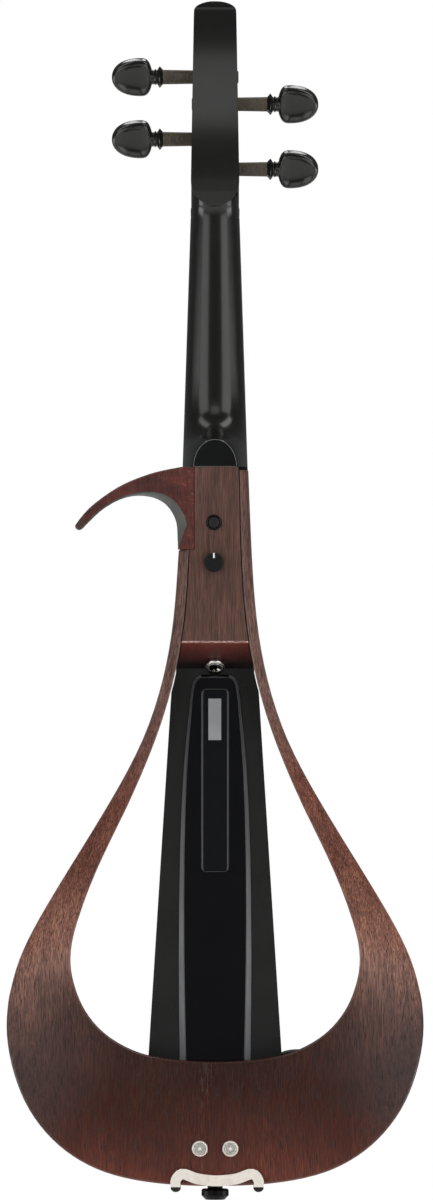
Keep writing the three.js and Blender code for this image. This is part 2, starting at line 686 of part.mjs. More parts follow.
// Depth of the straight line from the bridge's crest to above the tailpiece's lower end.
function tailLine(z) {
  const share = (z - TAILPIECE_BOTTOM) / (BRIDGE_Z - TAILPIECE_BOTTOM);
  return mix(gutTop + TAILPIECE_DROP + TAILPIECE_THICKNESS / 2, bridgeCrest, share);
}

const slopeRun = at(0, BODY_BACK, SLOPE_END - BLOCK_EDGE_Z).normalize();
const slopeOut = at(0, slopeRun.z, -slopeRun.y); // square to the slope, away from the wood
const slopeDepth = (z) => (BODY_BACK * (BLOCK_EDGE_Z - z)) / (BLOCK_EDGE_Z - SLOPE_END);
const slopeHeight = (y) => mix(BLOCK_EDGE_Z, SLOPE_END, y / BODY_BACK);
const jackPlace = at(0, slopeDepth(JACK_Z), JACK_Z);
const jackPoint = (reach) => jackPlace.clone().addScaledVector(slopeOut, reach);

function frameSolid() {
  const loop = loft(frameRings.map((corners) => softened(corners, FRAME_EDGE)));
  const holes = [-1, 1].map((side) => rod(
    BOLT_RADIUS + FIT_GAP,
    at(side * BOLT_X, -CUT_OVERRUN, BOLT_Z),
    at(side * BOLT_X, PLATE_THICKNESS + CUT_OVERRUN, BOLT_Z),
    SMALL_SIDES,
  ));
  return cut(loop, holes);
}

// Sides of what stands between the ribbons, from a top height down to a bottom height.
function betweenRibbons(top, bottom) {
  const heights = ribbonInside.map((point) => point.z).filter((z) => z < top && z > bottom);
  return [top, ...heights, bottom].map((z) => [ribbonInner(z) - FIT_GAP, z]);
}

// Neck and head

const headBackDepth = (z) => HEAD_BACK_DEPTH
  + sagitta(HEAD_BACK_RADIUS_SHARE * HEAD_LENGTH, z - headShare(HEAD_BACK_MIDDLE_SHARE));

const tongueMiddle = NUT_Z + TONGUE_OVERLAP + HEAD_HALF_WIDTH;

function neckRing(z) {
  const top = fingerboardUnderside(z) - GLUE_GAP;
  const half = Math.min(fingerboardHalfWidth(z), z < NUT_Z ? Infinity : HEAD_HALF_WIDTH - GLUE_GAP);
  const fromHeel = Math.min(Math.max((BLOCK_TOP + HEEL_LENGTH - z) / (HEEL_LENGTH - HEEL_CAP_HEIGHT), 0), 1);
  const drop = 1 - Math.sqrt(1 - fromHeel ** 2);
  const heelDepth = HEEL_CAP_THICKNESS + GLUE_GAP;
  const chinStart = NUT_Z - CHIN_LENGTH;
  const fromChin = Math.min(Math.max((z - chinStart) / (CHIN_LENGTH + TONGUE_OVERLAP), 0), 1);
  const chinDrop = CHIN_SHARE * (1 - Math.sqrt(1 - fromChin ** 2));
  const straight = mix(top - NECK_THICKNESS, heelDepth, drop);
  const back = mix(straight, headBackDepth(Math.max(z, chinStart)) + CHIN_STEP, chinDrop);
  const capShare = Math.min((z - BLOCK_TOP) / HEEL_CAP_HEIGHT, 1);
  const flat = Math.max(HEEL_CAP_HALF_WIDTH * Math.sqrt(1 - capShare ** 2), NECK_BACK_FLAT);
  const power = 1 + HEEL_TAPER_SHARE * drop;
  const left = Array.from({ length: NECK_STEPS + 1 }, (_, i) => {
    const angle = (Math.PI / 2) * (i / NECK_STEPS);
    const across = mix(flat, half, Math.cos(angle) ** power);
    return at(-across, mix(top, back, Math.sin(angle) ** power), z);
  });
  const right = left.map((point) => at(-point.x, point.y, z)).reverse();
  return [...left, ...right];
}

function neckSolid() {
  const heelShares = [0, 0.15, 0.27, 0.35, 0.4, 0.43, 0.48, 0.55, 0.65, 0.8, 1];
  const neckShares = [0.3, 0.65, 1];
  const chinShares = [0.3, 0.5, 0.7, 0.85, 0.95, 1];
  const heelTop = BLOCK_TOP + HEEL_LENGTH;
  const heights = [
    ...heelShares.map((share) => BLOCK_TOP + GLUE_GAP + share * (HEEL_LENGTH - GLUE_GAP)),
    ...neckShares.map((share) => mix(heelTop, NUT_Z - CHIN_LENGTH, share)),
    ...chinShares.map((share) => mix(NUT_Z - CHIN_LENGTH, NUT_Z + TONGUE_OVERLAP, share)),
    tongueMiddle,
  ];
  return loft(heights.map(neckRing));
}

function headSideOutline() {
  const frontFoot = FINGERBOARD_DEPTH_AT_NUT - GLUE_GAP;
  const frontTop = frontFoot - HEAD_FRONT_FALL;
  const backTop = HEAD_TOP - HEAD_TOP_ROUNDING;
  const tip = headBackDepth(backTop) + HEAD_NOSE_DEPTH;
  const frontHigh = headShare(HEAD_FRONT_SHARE);
  const nose = smooth([
    [frontTop, frontHigh], [mix(frontTop, tip, 0.1), mix(frontHigh, HEAD_TOP, 0.55)],
    [mix(frontTop, tip, 0.5), mix(frontHigh, HEAD_TOP, 0.93)],
    [tip, HEAD_TOP],
    [mix(tip, headBackDepth(backTop), 0.75), mix(backTop, HEAD_TOP, 0.6)],
    [headBackDepth(backTop), backTop],
  ], 2 * ARC_STEPS);
  const low = NUT_Z - GLUE_GAP;
  const back = Array.from({ length: 2 * ARC_STEPS }, (_, i) => {
    const z = mix(backTop, low, (i + 1) / (2 * ARC_STEPS));
    return [headBackDepth(z), z];
  });
  return [[frontFoot, low], ...nose, ...back];
}

function headBackOutline() {
  const shoulder = HEAD_TOP - HEAD_TOP_ROUNDING;
  const tongue = Array.from({ length: ARC_STEPS + 1 }, (_, i) => {
    const angle = (Math.PI / 2) * (1 - i / ARC_STEPS);
    return [HEAD_HALF_WIDTH * Math.cos(angle), tongueMiddle - HEAD_HALF_WIDTH * Math.sin(angle)];
  });
  const crown = Array.from({ length: ARC_STEPS + 1 }, (_, i) => {
    const angle = (Math.PI / 2) * (i / ARC_STEPS);
    return [HEAD_TOP_HALF_WIDTH * Math.cos(angle), shoulder + HEAD_TOP_ROUNDING * Math.sin(angle)];
  });
  const right = [...tongue, ...crown];
  return [...right, ...mirrored(right.slice(1, -1))];
}

const [E_SHARE, A_SHARE, D_SHARE, G_SHARE] = PEG_PLACE_SHARES;
const pegShares = { e: E_SHARE, a: A_SHARE, d: D_SHARE, g: G_SHARE };
const pegDepth = (share) => {
  const { g: near, a: far } = pegShares;
  return PEG_DEPTH - PEG_DEPTH_FALL * ((share - near) / (far - near));
};

function pegPlace(name) {
  const share = pegShares[name];
  return at(0, pegDepth(share), headShare(share));
}

const pegRadius = (reach) => mix(
  PEG_RADIUS_AT_TIP, PEG_RADIUS_AT_COLLAR,
  (reach + HEAD_HALF_WIDTH) / (PEG_COLLAR_REACH + HEAD_HALF_WIDTH),
);

function pegHole(name) {
  const side = PEG_SIDES[name];
  const place = pegPlace(name);
  const reach = HEAD_HALF_WIDTH + CUT_OVERRUN;
  const start = place.clone().setX(-side * reach);
  const end = place.clone().setX(side * reach);
  return rod(pegRadius(-reach) + FIT_GAP, start, end, SMALL_SIDES, pegRadius(reach) + FIT_GAP);
}

function pegboxHollow() {
  const low = headShare(PEGBOX_START_SHARE);
  const high = headShare(PEGBOX_START_SHARE + PEGBOX_LENGTH_SHARE);
  const mouth = FINGERBOARD_DEPTH_AT_NUT + CUT_OVERRUN;
  const floorShares = [0.06, 0.14, 0.3, 0.55, 0.8, 0.96];
  const liftShares = [0.8, 0.1, 0, 0, 0.06, 0.5];
  const floor = floorShares.map((share, i) => {
    const z = mix(low, high, share);
    return [headBackDepth(z) + PEGBOX_FLOOR * (1 + liftShares[i]), z];
  });
  return prism([[mouth, low], ...floor, [mouth, high]], 'x', -PEGBOX_HALF_WIDTH, PEGBOX_HALF_WIDTH);
}

function neckAndPegbox() {
  const side = prism(headSideOutline(), 'x', -FINGERBOARD_WIDTH_AT_NUT, FINGERBOARD_WIDTH_AT_NUT);
  const back = prism(headBackOutline(), 'y', -CUT_OVERRUN, FINGERBOARD_DEPTH_AT_NUT + CUT_OVERRUN);
  const head = common(side, back);
  return cut(join(head, neckSolid()), pegboxHollow(), STRING_NAMES.map(pegHole));
}

function heelCap() {
  const arc = Array.from({ length: 2 * ARC_STEPS + 1 }, (_, i) => {
    const angle = (Math.PI * i) / (2 * ARC_STEPS);
    const base = BLOCK_TOP + GLUE_GAP;
    return [
      HEEL_CAP_HALF_WIDTH * Math.cos(angle),
      base + (HEEL_CAP_HEIGHT - GLUE_GAP) * Math.sin(angle),
    ];
  });
  return prism(arc, 'y', 0, HEEL_CAP_THICKNESS);
}

function archedRing(half, underside, top, z, steps = 2 * ARC_STEPS) {
  const arc = Array.from({ length: steps + 1 }, (_, i) => {
    const x = mix(half, -half, i / steps);
    return at(x, top(x, z), z);
  });
  return [at(-half, underside(z), z), at(half, underside(z), z), ...arc];
}

function fingerboard() {
  return loft([NUT_Z, NUT_Z - FINGERBOARD_LENGTH].map((z) => archedRing(
    fingerboardHalfWidth(z), fingerboardUnderside, fingerboardTop, z, ARC_STEPS,
  )));
}

function nut() {
  const low = NUT_Z + GLUE_GAP;
  const flatEnd = NUT_Z + NUT_THICKNESS * 0.4;
  const ring = (z, fall) => archedRing(
    fingerboardHalfWidth(NUT_Z), () => FINGERBOARD_DEPTH_AT_NUT, (x) => nutTop(x) - fall, z, ARC_STEPS,
  );
  return loft([ring(low, 0), ring(flatEnd, 0), ring(NUT_Z + NUT_THICKNESS, NUT_FALL)]);
}

function peg(name) {
  const side = PEG_SIDES[name];
  const stemEnd = PEG_COLLAR_REACH + PEG_COLLAR_WIDTH + PEG_STEM_LENGTH;
  const collarReach = (share) => PEG_COLLAR_REACH + share * PEG_COLLAR_WIDTH;
  const shaft = turned([
    [0, -HEAD_HALF_WIDTH], [PEG_RADIUS_AT_TIP, -HEAD_HALF_WIDTH],
    [PEG_RADIUS_AT_COLLAR, PEG_COLLAR_REACH],
    [PEG_COLLAR_RADIUS, collarReach(0.55)], [PEG_COLLAR_RADIUS, collarReach(0.75)],
    [PEG_STEM_RADIUS, collarReach(1)],
    [PEG_STEM_RADIUS, stemEnd + PEG_HEAD_BEVEL], [0, stemEnd + PEG_HEAD_BEVEL],
  ], at(0, 0, 0), at(side, 0, 0), SMALL_SIDES);
  const half = smooth(PEG_HEAD_SHARES.map(([reach, across]) => [
    reach * PEG_HEAD_LENGTH, across * PEG_HEAD_HALF_WIDTH,
  ]), PEG_HEAD_SHARES.length - 1);
  const outline = [
    ...half, [PEG_HEAD_LENGTH, 0], ...half.map(([a, b]) => [a, -b]).reverse(),
  ].map(([a, b]) => new THREE.Vector2(a, b));
  const depth = PEG_HEAD_THICKNESS - 2 * PEG_HEAD_BEVEL;
  const knob = new THREE.ExtrudeGeometry(new THREE.Shape(outline), {
    depth, bevelThickness: PEG_HEAD_BEVEL, bevelSize: PEG_HEAD_BEVEL,
    bevelOffset: -PEG_HEAD_BEVEL, bevelSegments: 3,
  }).translate(0, 0, -depth / 2);
  const tilt = THREE.MathUtils.degToRad(PEG_TILT_DEG);
  knob.applyMatrix4(new THREE.Matrix4().makeBasis(
    at(side, 0, 0), at(0, -Math.sin(tilt), Math.cos(tilt)),
    at(0, -side * Math.cos(tilt), -side * Math.sin(tilt)),
  )).translate(side * stemEnd, 0, 0);
  const place = pegPlace(name);
  return join(shaft, knob).translate(place.x, place.y, place.z);
}

// Block, horn and body

// Everything behind the slope, as an outline of depths and heights.
function slopeCut() {
  const far = BLOCK_DEPTH + CUT_OVERRUN;
  const low = slopeHeight(far) - CUT_OVERRUN;
  return [
    [-CUT_OVERRUN, BLOCK_EDGE_Z], [0, BLOCK_EDGE_Z], [far, slopeHeight(far)],
    [far, low], [-CUT_OVERRUN, low],
  ];
}

function jackHoles() {
  return [
    rod(JACK_RADIUS + FIT_GAP, jackPoint(CUT_OVERRUN), jackPoint(-JACK_WALL - GLUE_GAP), ROUND_SIDES),
    rod(JACK_BODY_RADIUS + FIT_GAP, jackPoint(-JACK_WALL), jackPoint(-JACK_LENGTH - FIT_GAP), ROUND_SIDES),
  ];
}

function rearBlock() {
  const bottom = slopeHeight(BLOCK_DEPTH);
  const right = betweenRibbons(BLOCK_TOP, bottom);
  const left = mirrored(betweenRibbons(HORN_JOINT - FIT_GAP, bottom));
  const seam = -HORN_SEAM + FIT_GAP / 2;
  const outline = [...right, ...left, [seam, HORN_JOINT - FIT_GAP], [seam, BLOCK_TOP]];
  const wood = prism(outline, 'y', 0, BLOCK_DEPTH);
  const slope = prism(slopeCut(), 'x', -FRAME_HALF_WIDTH, FRAME_HALF_WIDTH);
  const hollow = box(
    CONTROL_X - CONTROL_HOLLOW_HALF_WIDTH, CONTROL_X + CONTROL_HOLLOW_HALF_WIDTH,
    CONTROL_WALL, BLOCK_DEPTH + CUT_OVERRUN, CONTROL_HOLLOW_BOTTOM, CONTROL_HOLLOW_TOP,
  );
  const hole = (radius, z) => rod(
    radius + FIT_GAP, at(CONTROL_X, -CUT_OVERRUN, z), at(CONTROL_X, CONTROL_WALL + CUT_OVERRUN, z),
  );
  return cut(wood, slope, hollow, hole(POT_BUSH_RADIUS, KNOB_Z), hole(BEZEL_RADIUS, SWITCH_Z), jackHoles());
}

function upperHorn() {
  const place = ([across, down]) => [-across * HORN_REACH, BLOCK_TOP - down * HORN_TIP_DROP];
  const upper = smooth(HORN_UPPER_SHARES.map(place), 2 * (HORN_UPPER_SHARES.length - 1));
  const lower = smooth(HORN_LOWER_SHARES.map(place), 2 * (HORN_LOWER_SHARES.length - 1));
  const bevels = smooth(HORN_BEVEL_SHARES.map((share, i) => [i, share * HORN_BEVEL]), lower.length - 1);
  const seam = -HORN_SEAM - FIT_GAP / 2;
  const joint = HORN_JOINT;
  lower[lower.length - 1] = [-HORN_ROOT_SHARE * HORN_REACH, joint];
  const outline = [[seam, BLOCK_TOP], ...upper, ...lower, [seam, joint]];
  const inward = (i, size) => {
    const [before, after] = [outline[i - 1], outline[i + 1]];
    const run = new THREE.Vector2(after[0] - before[0], after[1] - before[1]).normalize();
    return [outline[i][0] - run.y * size, outline[i][1] + run.x * size];
  };
  const firstLower = upper.length + 1;
  const front = (x) => mix(BLOCK_DEPTH, HORN_TIP_DEPTH, Math.max((-x - HORN_SEAM) / (HORN_REACH - HORN_SEAM), 0) ** 0.7);
  const ring = (depth, size, bevelled) => outline.map((point, i) => {
    const edge = i > 1 && i < outline.length - 2;
    const bevel = bevelled && i >= firstLower && edge ? bevels[i - firstLower][1] : 0;
    const [x, z] = edge ? inward(i, size + bevel) : point;
    return at(x, depth(point[0]), z);
  });
  return loft([
    ring(() => 0, HORN_EDGE, true),
    ring(() => HORN_EDGE, 0, true),
    ring(() => HORN_BEVEL_DEPTH, 0, false),
    ring((x) => front(x) - HORN_EDGE, 0, false),
    ring(front, HORN_EDGE, false),
  ]);
}

function tailArc(half) {
  return Array.from({ length: ARC_STEPS }, (_, i) => {
    const x = mix(half, 0, (i + 1) / ARC_STEPS);
    return [x, mix(BODY_TAIL, BODY_TAIL_CORNER, (x / half) ** 2)];
  });
}

function bodyRight(top) {
  const sides = top > RIBBON_CONTACT_END ? betweenRibbons(top, RIBBON_CONTACT_END) : [[bodyHalfWidth(top), top]];
  return [
    ...sides, ...(top > BODY_SHOULDER ? [[bodyHalfWidth(BODY_SHOULDER), BODY_SHOULDER]] : []),
    [bodyHalfWidth(BODY_TAIL_CORNER), BODY_TAIL_CORNER], ...tailArc(bodyHalfWidth(BODY_TAIL_CORNER)),
  ];
}

function bodyOutline(top) {
  const right = bodyRight(top);
  return [...right, ...mirrored(right.slice(0, -1))];
}

function bodyCore() {
  const main = prism(bodyOutline(BLOCK_TOP - GLUE_GAP), 'y', BODY_BACK, BODY_FRONT);
  const tail = prism(bodyOutline(TAIL_BLOCK_TOP), 'y', PLATE_THICKNESS + FIT_GAP, BODY_BACK + CUT_OVERRUN);
  const blockRoom = prism([
    [BODY_BACK - CUT_OVERRUN, SLOPE_END - FIT_GAP], [BODY_BACK, SLOPE_END - FIT_GAP],
    [BLOCK_DEPTH + FIT_GAP, SLOPE_END - BLOCK_DEPTH / 4 - FIT_GAP],
    [BLOCK_DEPTH + FIT_GAP, BLOCK_TOP + CUT_OVERRUN], [BODY_BACK - CUT_OVERRUN, BLOCK_TOP + CUT_OVERRUN],
  ], 'x', -FRAME_HALF_WIDTH, FRAME_HALF_WIDTH);
  const hollowRight = [
    [BODY_HOLLOW_HALF_WIDTH, BODY_HOLLOW_BOTTOM], [BODY_HOLLOW_HALF_WIDTH, BODY_HOLLOW_TAPER],
    [BODY_HOLLOW_END_HALF_WIDTH, BODY_HOLLOW_TOP],
  ];
  const hollow = prism(
    [...hollowRight, ...mirrored(hollowRight)], 'y', BODY_BACK - CUT_OVERRUN, BODY_HOLLOW_FLOOR,
  );
  const channel = box(
    WIRE_CHANNEL_LEFT, WIRE_CHANNEL_RIGHT, BLOCK_DEPTH, WIRE_CHANNEL_FLOOR,
    BODY_HOLLOW_TOP - CUT_OVERRUN, CONTROL_HOLLOW_BOTTOM + 4 * CUT_OVERRUN,
  );
  const jackChannel = box(
    -WIRE_HOLE_RADIUS, WIRE_HOLE_RADIUS, BLOCK_DEPTH, WIRE_CHANNEL_FLOOR,
    BLOCK_EDGE_Z, CONTROL_HOLLOW_BOTTOM + 3 * CUT_OVERRUN,
  );
  const wireHoles = [-1, 1].map((side) => rod(
    WIRE_HOLE_RADIUS, wireTop(side).setY(BODY_FRONT + CUT_OVERRUN), wireTop(side).setY(BODY_HOLLOW_FLOOR - CUT_OVERRUN),
    SMALL_SIDES,
  ));
  const pocket = rod(JACK_POCKET_RADIUS, jackPoint(-GLUE_GAP), jackPoint(3 * JACK_PROUD));
  const pin = rod(
    END_BUTTON_NECK_RADIUS + FIT_GAP, at(0, BUTTON_AXIS_DEPTH, BODY_TAIL - CUT_OVERRUN),
    at(0, BUTTON_AXIS_DEPTH, BODY_TAIL + END_BUTTON_PIN_LENGTH + FIT_GAP),
  );
  const boltHoles = [-1, 1].map((side) => rod(
    BOLT_RADIUS + FIT_GAP, at(side * BOLT_X, 0, BOLT_Z),
    at(side * BOLT_X, BOLT_LENGTH + FIT_GAP, BOLT_Z), SMALL_SIDES,
  ));
  return cut(
    join(main, tail), blockRoom, hollow, channel, jackChannel, wireHoles, pocket, pin, boltHoles, jackHoles()[1],
  );
}

function topPlate() {
  const low = BODY_FRONT + GLUE_GAP;
  const fading = [1, 0.75, 0.5, 0.25, 0].map((share) => BODY_TAIL + share * TOP_FADE);
  const arched = loft([TOP_END, BODY_SHOULDER, BRIDGE_Z, ...fading].map((z) => archedRing(
    bodyHalfWidth(z), () => low, topPlateSurface, z,
  )));
  const outline = prism(bodyOutline(TOP_END), 'y', BODY_FRONT, bridgeCrest);
  const saddle = box(
    -SADDLE_HALF_WIDTH - FIT_GAP, SADDLE_HALF_WIDTH + FIT_GAP, BODY_FRONT - CUT_OVERRUN, bridgeCrest,
    -CUT_OVERRUN, BODY_TAIL + SADDLE_THICKNESS + FIT_GAP,
  );
  const pickups = [-1, 1].map((side) => pickupBox(side, FIT_GAP, CUT_OVERRUN));
  const wireHoles = [-1, 1].map((side) => rod(
    WIRE_HOLE_RADIUS, wireTop(side).setY(BODY_FRONT - CUT_OVERRUN), wireTop(side).setY(bridgeFootDepth), SMALL_SIDES,
  ));
  return cut(common(arched, outline), saddle, pickups, wireHoles);
}

function coverOutline(inset) {
  const height = COVER_TOP - COVER_BOTTOM;
  const right = smooth(COVER_SHARES.map(([across, up]) => [
    across * COVER_HALF_WIDTH, COVER_BOTTOM + up * height,
  ]), 2 * (COVER_SHARES.length - 1));
  const whole = [...right, ...mirrored(right)].map(([x, z]) => at(x, 0, z));
  const middle = at(0, 0, (COVER_TOP + COVER_BOTTOM) / 2);
  const shrink = (z) => {
    const bevel = inset * mix(1, COVER_BEVEL_TOP_SHARE, (z - COVER_BOTTOM) / height);
    return at(1 - bevel / COVER_HALF_WIDTH, 1, 1 - bevel / (height / 2));
  };
  return whole.map((point) => point.clone().sub(middle).multiply(shrink(point.z)).add(middle));
}

function labelOutline(clearance) {
  const corners = [[1, LABEL_TOP, 1], [-1, LABEL_TOP, 1], [-1, LABEL_BOTTOM, -1], [1, LABEL_BOTTOM, -1]];
  const steps = ARC_STEPS / 2;
  return corners.flatMap(([side, z, up], k) => Array.from({ length: steps + 1 }, (_, i) => {
    const angle = (Math.PI / 2) * (k + i / steps);
    return [
      side * (LABEL_HALF_WIDTH - LABEL_CORNER) + (LABEL_CORNER + clearance) * Math.cos(angle),
      z - up * LABEL_CORNER + (LABEL_CORNER + clearance) * Math.sin(angle),
    ];
  }));
}

const coverBack = BODY_BACK - GLUE_GAP - COVER_THICKNESS;

function backCover() {
  const ring = (inset, depth) => coverOutline(inset).map((point) => point.setY(depth));
  const panel = loft([
    ring(COVER_BEVEL, coverBack), ring(0, BODY_BACK - GLUE_GAP - COVER_THICKNESS / 4), ring(0, BODY_BACK - GLUE_GAP),
  ]);
  const seat = prism(labelOutline(FIT_GAP / 2), 'y', coverBack - CUT_OVERRUN, coverBack + LABEL_THICKNESS + GLUE_GAP);
  return cut(panel, seat);
}

function labelPlate() {
  return prism(labelOutline(0), 'y', coverBack, coverBack + LABEL_THICKNESS);
}

// Controls and jack

function volumeKnob() {
  const knob = turned([
    [0, 0], [KNOB_RADIUS - KNOB_EDGE, 0], [KNOB_RADIUS, KNOB_EDGE], [KNOB_RADIUS, KNOB_HEIGHT], [0, KNOB_HEIGHT],
  ], at(CONTROL_X, -KNOB_HEIGHT - FIT_GAP, KNOB_Z), Y_AXIS);
  const line = box(
    CONTROL_X - KNOB_LINE_WIDTH / 2, CONTROL_X + KNOB_LINE_WIDTH / 2,
    -KNOB_HEIGHT - FIT_GAP - CUT_OVERRUN, -KNOB_HEIGHT - FIT_GAP + KNOB_LINE_DEPTH,
    KNOB_Z + KNOB_RADIUS - KNOB_LINE_LENGTH, KNOB_Z + KNOB_RADIUS + CUT_OVERRUN,
  );
  const bore = rod(
    POT_SHAFT_RADIUS + GLUE_GAP, at(CONTROL_X, CUT_OVERRUN, KNOB_Z),
    at(CONTROL_X, CONTROL_WALL + FIT_GAP - POT_SHAFT_LENGTH - GLUE_GAP, KNOB_Z), SMALL_SIDES,
  );
  return cut(knob, line, bore);
}

function potBody() {
  const start = CONTROL_WALL + FIT_GAP;
  const body = turned([
    [POT_SHAFT_RADIUS + FIT_GAP, GLUE_GAP], [POT_BUSH_RADIUS, GLUE_GAP], [POT_BUSH_RADIUS, start],
    [POT_RADIUS, start], [POT_RADIUS, start + POT_HEIGHT], [0, start + POT_HEIGHT],
    [0, start + GLUE_GAP], [POT_SHAFT_RADIUS + FIT_GAP, start + GLUE_GAP], [POT_SHAFT_RADIUS + FIT_GAP, GLUE_GAP],
  ], at(CONTROL_X, 0, KNOB_Z), Y_AXIS);
  return body;
}

function potShaft() {
  const end = CONTROL_WALL + FIT_GAP;
  return rod(POT_SHAFT_RADIUS, at(CONTROL_X, end - POT_SHAFT_LENGTH, KNOB_Z), at(CONTROL_X, end, KNOB_Z), SMALL_SIDES);
}

function switchButton() {
  const edge = BUTTON_RADIUS / 6;
  return turned([
    [0, 0], [BUTTON_RADIUS - edge, 0], [BUTTON_RADIUS, edge], [BUTTON_RADIUS, BUTTON_LENGTH], [0, BUTTON_LENGTH],
  ], at(CONTROL_X, -BUTTON_PROUD, SWITCH_Z), Y_AXIS, SMALL_SIDES);
}

function switchBezel() {
  const inner = BUTTON_RADIUS + FIT_GAP;
  return turned([
    [inner, -BEZEL_PROUD], [BEZEL_RADIUS, -BEZEL_PROUD], [BEZEL_RADIUS, CONTROL_WALL], [inner, CONTROL_WALL],
    [inner, -BEZEL_PROUD],
  ], at(CONTROL_X, 0, SWITCH_Z), Y_AXIS, SMALL_SIDES);
}

function switchBody() {
  const start = CONTROL_WALL + GLUE_GAP;
  const half = SWITCH_BODY_WIDTH / 2;
  const body = box(CONTROL_X - half, CONTROL_X + half, start, start + SWITCH_BODY_DEPTH, SWITCH_Z - half, SWITCH_Z + half);
  const well = rod(
    BUTTON_RADIUS + FIT_GAP, at(CONTROL_X, 0, SWITCH_Z),
    at(CONTROL_X, BUTTON_LENGTH - BUTTON_PROUD + BUTTON_TRAVEL + FIT_GAP, SWITCH_Z), SMALL_SIDES,
  );
  return cut(body, well);
}

function jackBarrel() {
  return turned([
    [0, JACK_LENGTH], [JACK_BODY_RADIUS, JACK_LENGTH], [JACK_BODY_RADIUS, JACK_WALL + GLUE_GAP],
    [JACK_RADIUS, JACK_WALL + GLUE_GAP], [JACK_RADIUS, -JACK_PROUD], [JACK_BORE_RADIUS, -JACK_PROUD],
    [JACK_BORE_RADIUS, JACK_BORE_LENGTH], [0, JACK_BORE_LENGTH],
  ], jackPlace, slopeOut.clone().negate());
}

function jackNut() {
  const inner = JACK_RADIUS + GLUE_GAP;
  const edge = JACK_NUT_HEIGHT / 4;
  return turned([
    [inner, GLUE_GAP], [JACK_NUT_RADIUS, GLUE_GAP], [JACK_NUT_RADIUS, JACK_NUT_HEIGHT - edge],
    [JACK_NUT_RADIUS - edge, JACK_NUT_HEIGHT], [inner, JACK_NUT_HEIGHT], [inner, GLUE_GAP],
  ], jackPlace, slopeOut);
}

// Bolts, button, saddle and tailgut

function frameBolt(side) {
  const headBack = -CUP_FLOOR - GLUE_GAP;
  const top = headBack - BOLT_HEAD_HEIGHT;
  const edge = BOLT_HEAD_HEIGHT / 4;
  return turned([
    [0, top + BOLT_SOCKET_DEPTH], [BOLT_SOCKET_RADIUS, top + BOLT_SOCKET_DEPTH], [BOLT_SOCKET_RADIUS, top],
    [BOLT_HEAD_RADIUS - edge, top], [BOLT_HEAD_RADIUS, top + edge], [BOLT_HEAD_RADIUS, headBack],
    [BOLT_RADIUS, headBack], [BOLT_RADIUS, BOLT_LENGTH], [0, BOLT_LENGTH],
  ], at(side * BOLT_X, 0, BOLT_Z), Y_AXIS, SMALL_SIDES);
}

function boltCup(side) {
  const inner = BOLT_RADIUS + FIT_GAP;
  const well = BOLT_HEAD_RADIUS + FIT_GAP;
  return turned([
    [inner, -GLUE_GAP], [CUP_RADIUS, -GLUE_GAP], [CUP_RADIUS, -CUP_HEIGHT / 2],
    [mix(CUP_RADIUS, well, 0.4), -CUP_HEIGHT], [well, -CUP_HEIGHT], [well, -CUP_FLOOR], [inner, -CUP_FLOOR],
    [inner, -GLUE_GAP],
  ], at(side * BOLT_X, 0, BOLT_Z), Y_AXIS);
}

function endButton() {
  const neckEnd = END_BUTTON_NECK_LENGTH;
  const far = neckEnd + END_BUTTON_HEIGHT;
  return turned([
    [0, -END_BUTTON_PIN_LENGTH], [END_BUTTON_NECK_RADIUS, -END_BUTTON_PIN_LENGTH],
    [END_BUTTON_NECK_RADIUS, neckEnd], [END_BUTTON_RADIUS - END_BUTTON_EDGE, neckEnd],
    [END_BUTTON_RADIUS, neckEnd + END_BUTTON_EDGE], [END_BUTTON_RADIUS, far - END_BUTTON_CHAMFER],
    [END_BUTTON_RADIUS - END_BUTTON_CHAMFER, far], [0, far],
  ], at(0, BUTTON_AXIS_DEPTH, BODY_TAIL), Z_AXIS.clone().negate());
}

function saddle() {
  const end = BODY_TAIL + SADDLE_THICKNESS;
  const middle = box(-SADDLE_HALF_WIDTH, SADDLE_HALF_WIDTH, BODY_FRONT + GLUE_GAP, saddleTop, BODY_TAIL + GLUE_GAP, end);
  const crown = archedRing(
    SADDLE_HALF_WIDTH, () => BODY_FRONT,
    (x) => saddleTop - (saddleTop - BODY_FRONT - TOP_EDGE) * (x / SADDLE_HALF_WIDTH) ** 4, 0,
  );
  return common(middle, loft([crown, crown.map((point) => point.clone().setZ(2 * end))]));
}

function tailgut() {
  const loopRadius = END_BUTTON_NECK_RADIUS + GUT_RADIUS + FIT_GAP;
  const low = BODY_TAIL - GUT_RADIUS - FIT_GAP;
  const side = (sign) => [
    at(sign * GUT_HALF_SPACING, gutTop, TAILPIECE_BOTTOM - GLUE_GAP),
    at(sign * GUT_HALF_SPACING, gutTop, BODY_TAIL),
    at(sign * GUT_HALF_SPACING, saddleTop, low),
  ];
  const turns = Array.from({ length: ARC_STEPS + 1 }, (_, i) => {
    const angle = Math.PI * (i / ARC_STEPS);
    return at(loopRadius * Math.cos(angle), BUTTON_AXIS_DEPTH - loopRadius * Math.sin(angle), low);
  });
  return tube([...side(1), ...turns, ...side(-1).reverse()], GUT_RADIUS, 8);
}

// Bridge, pickups, tailpiece and strings

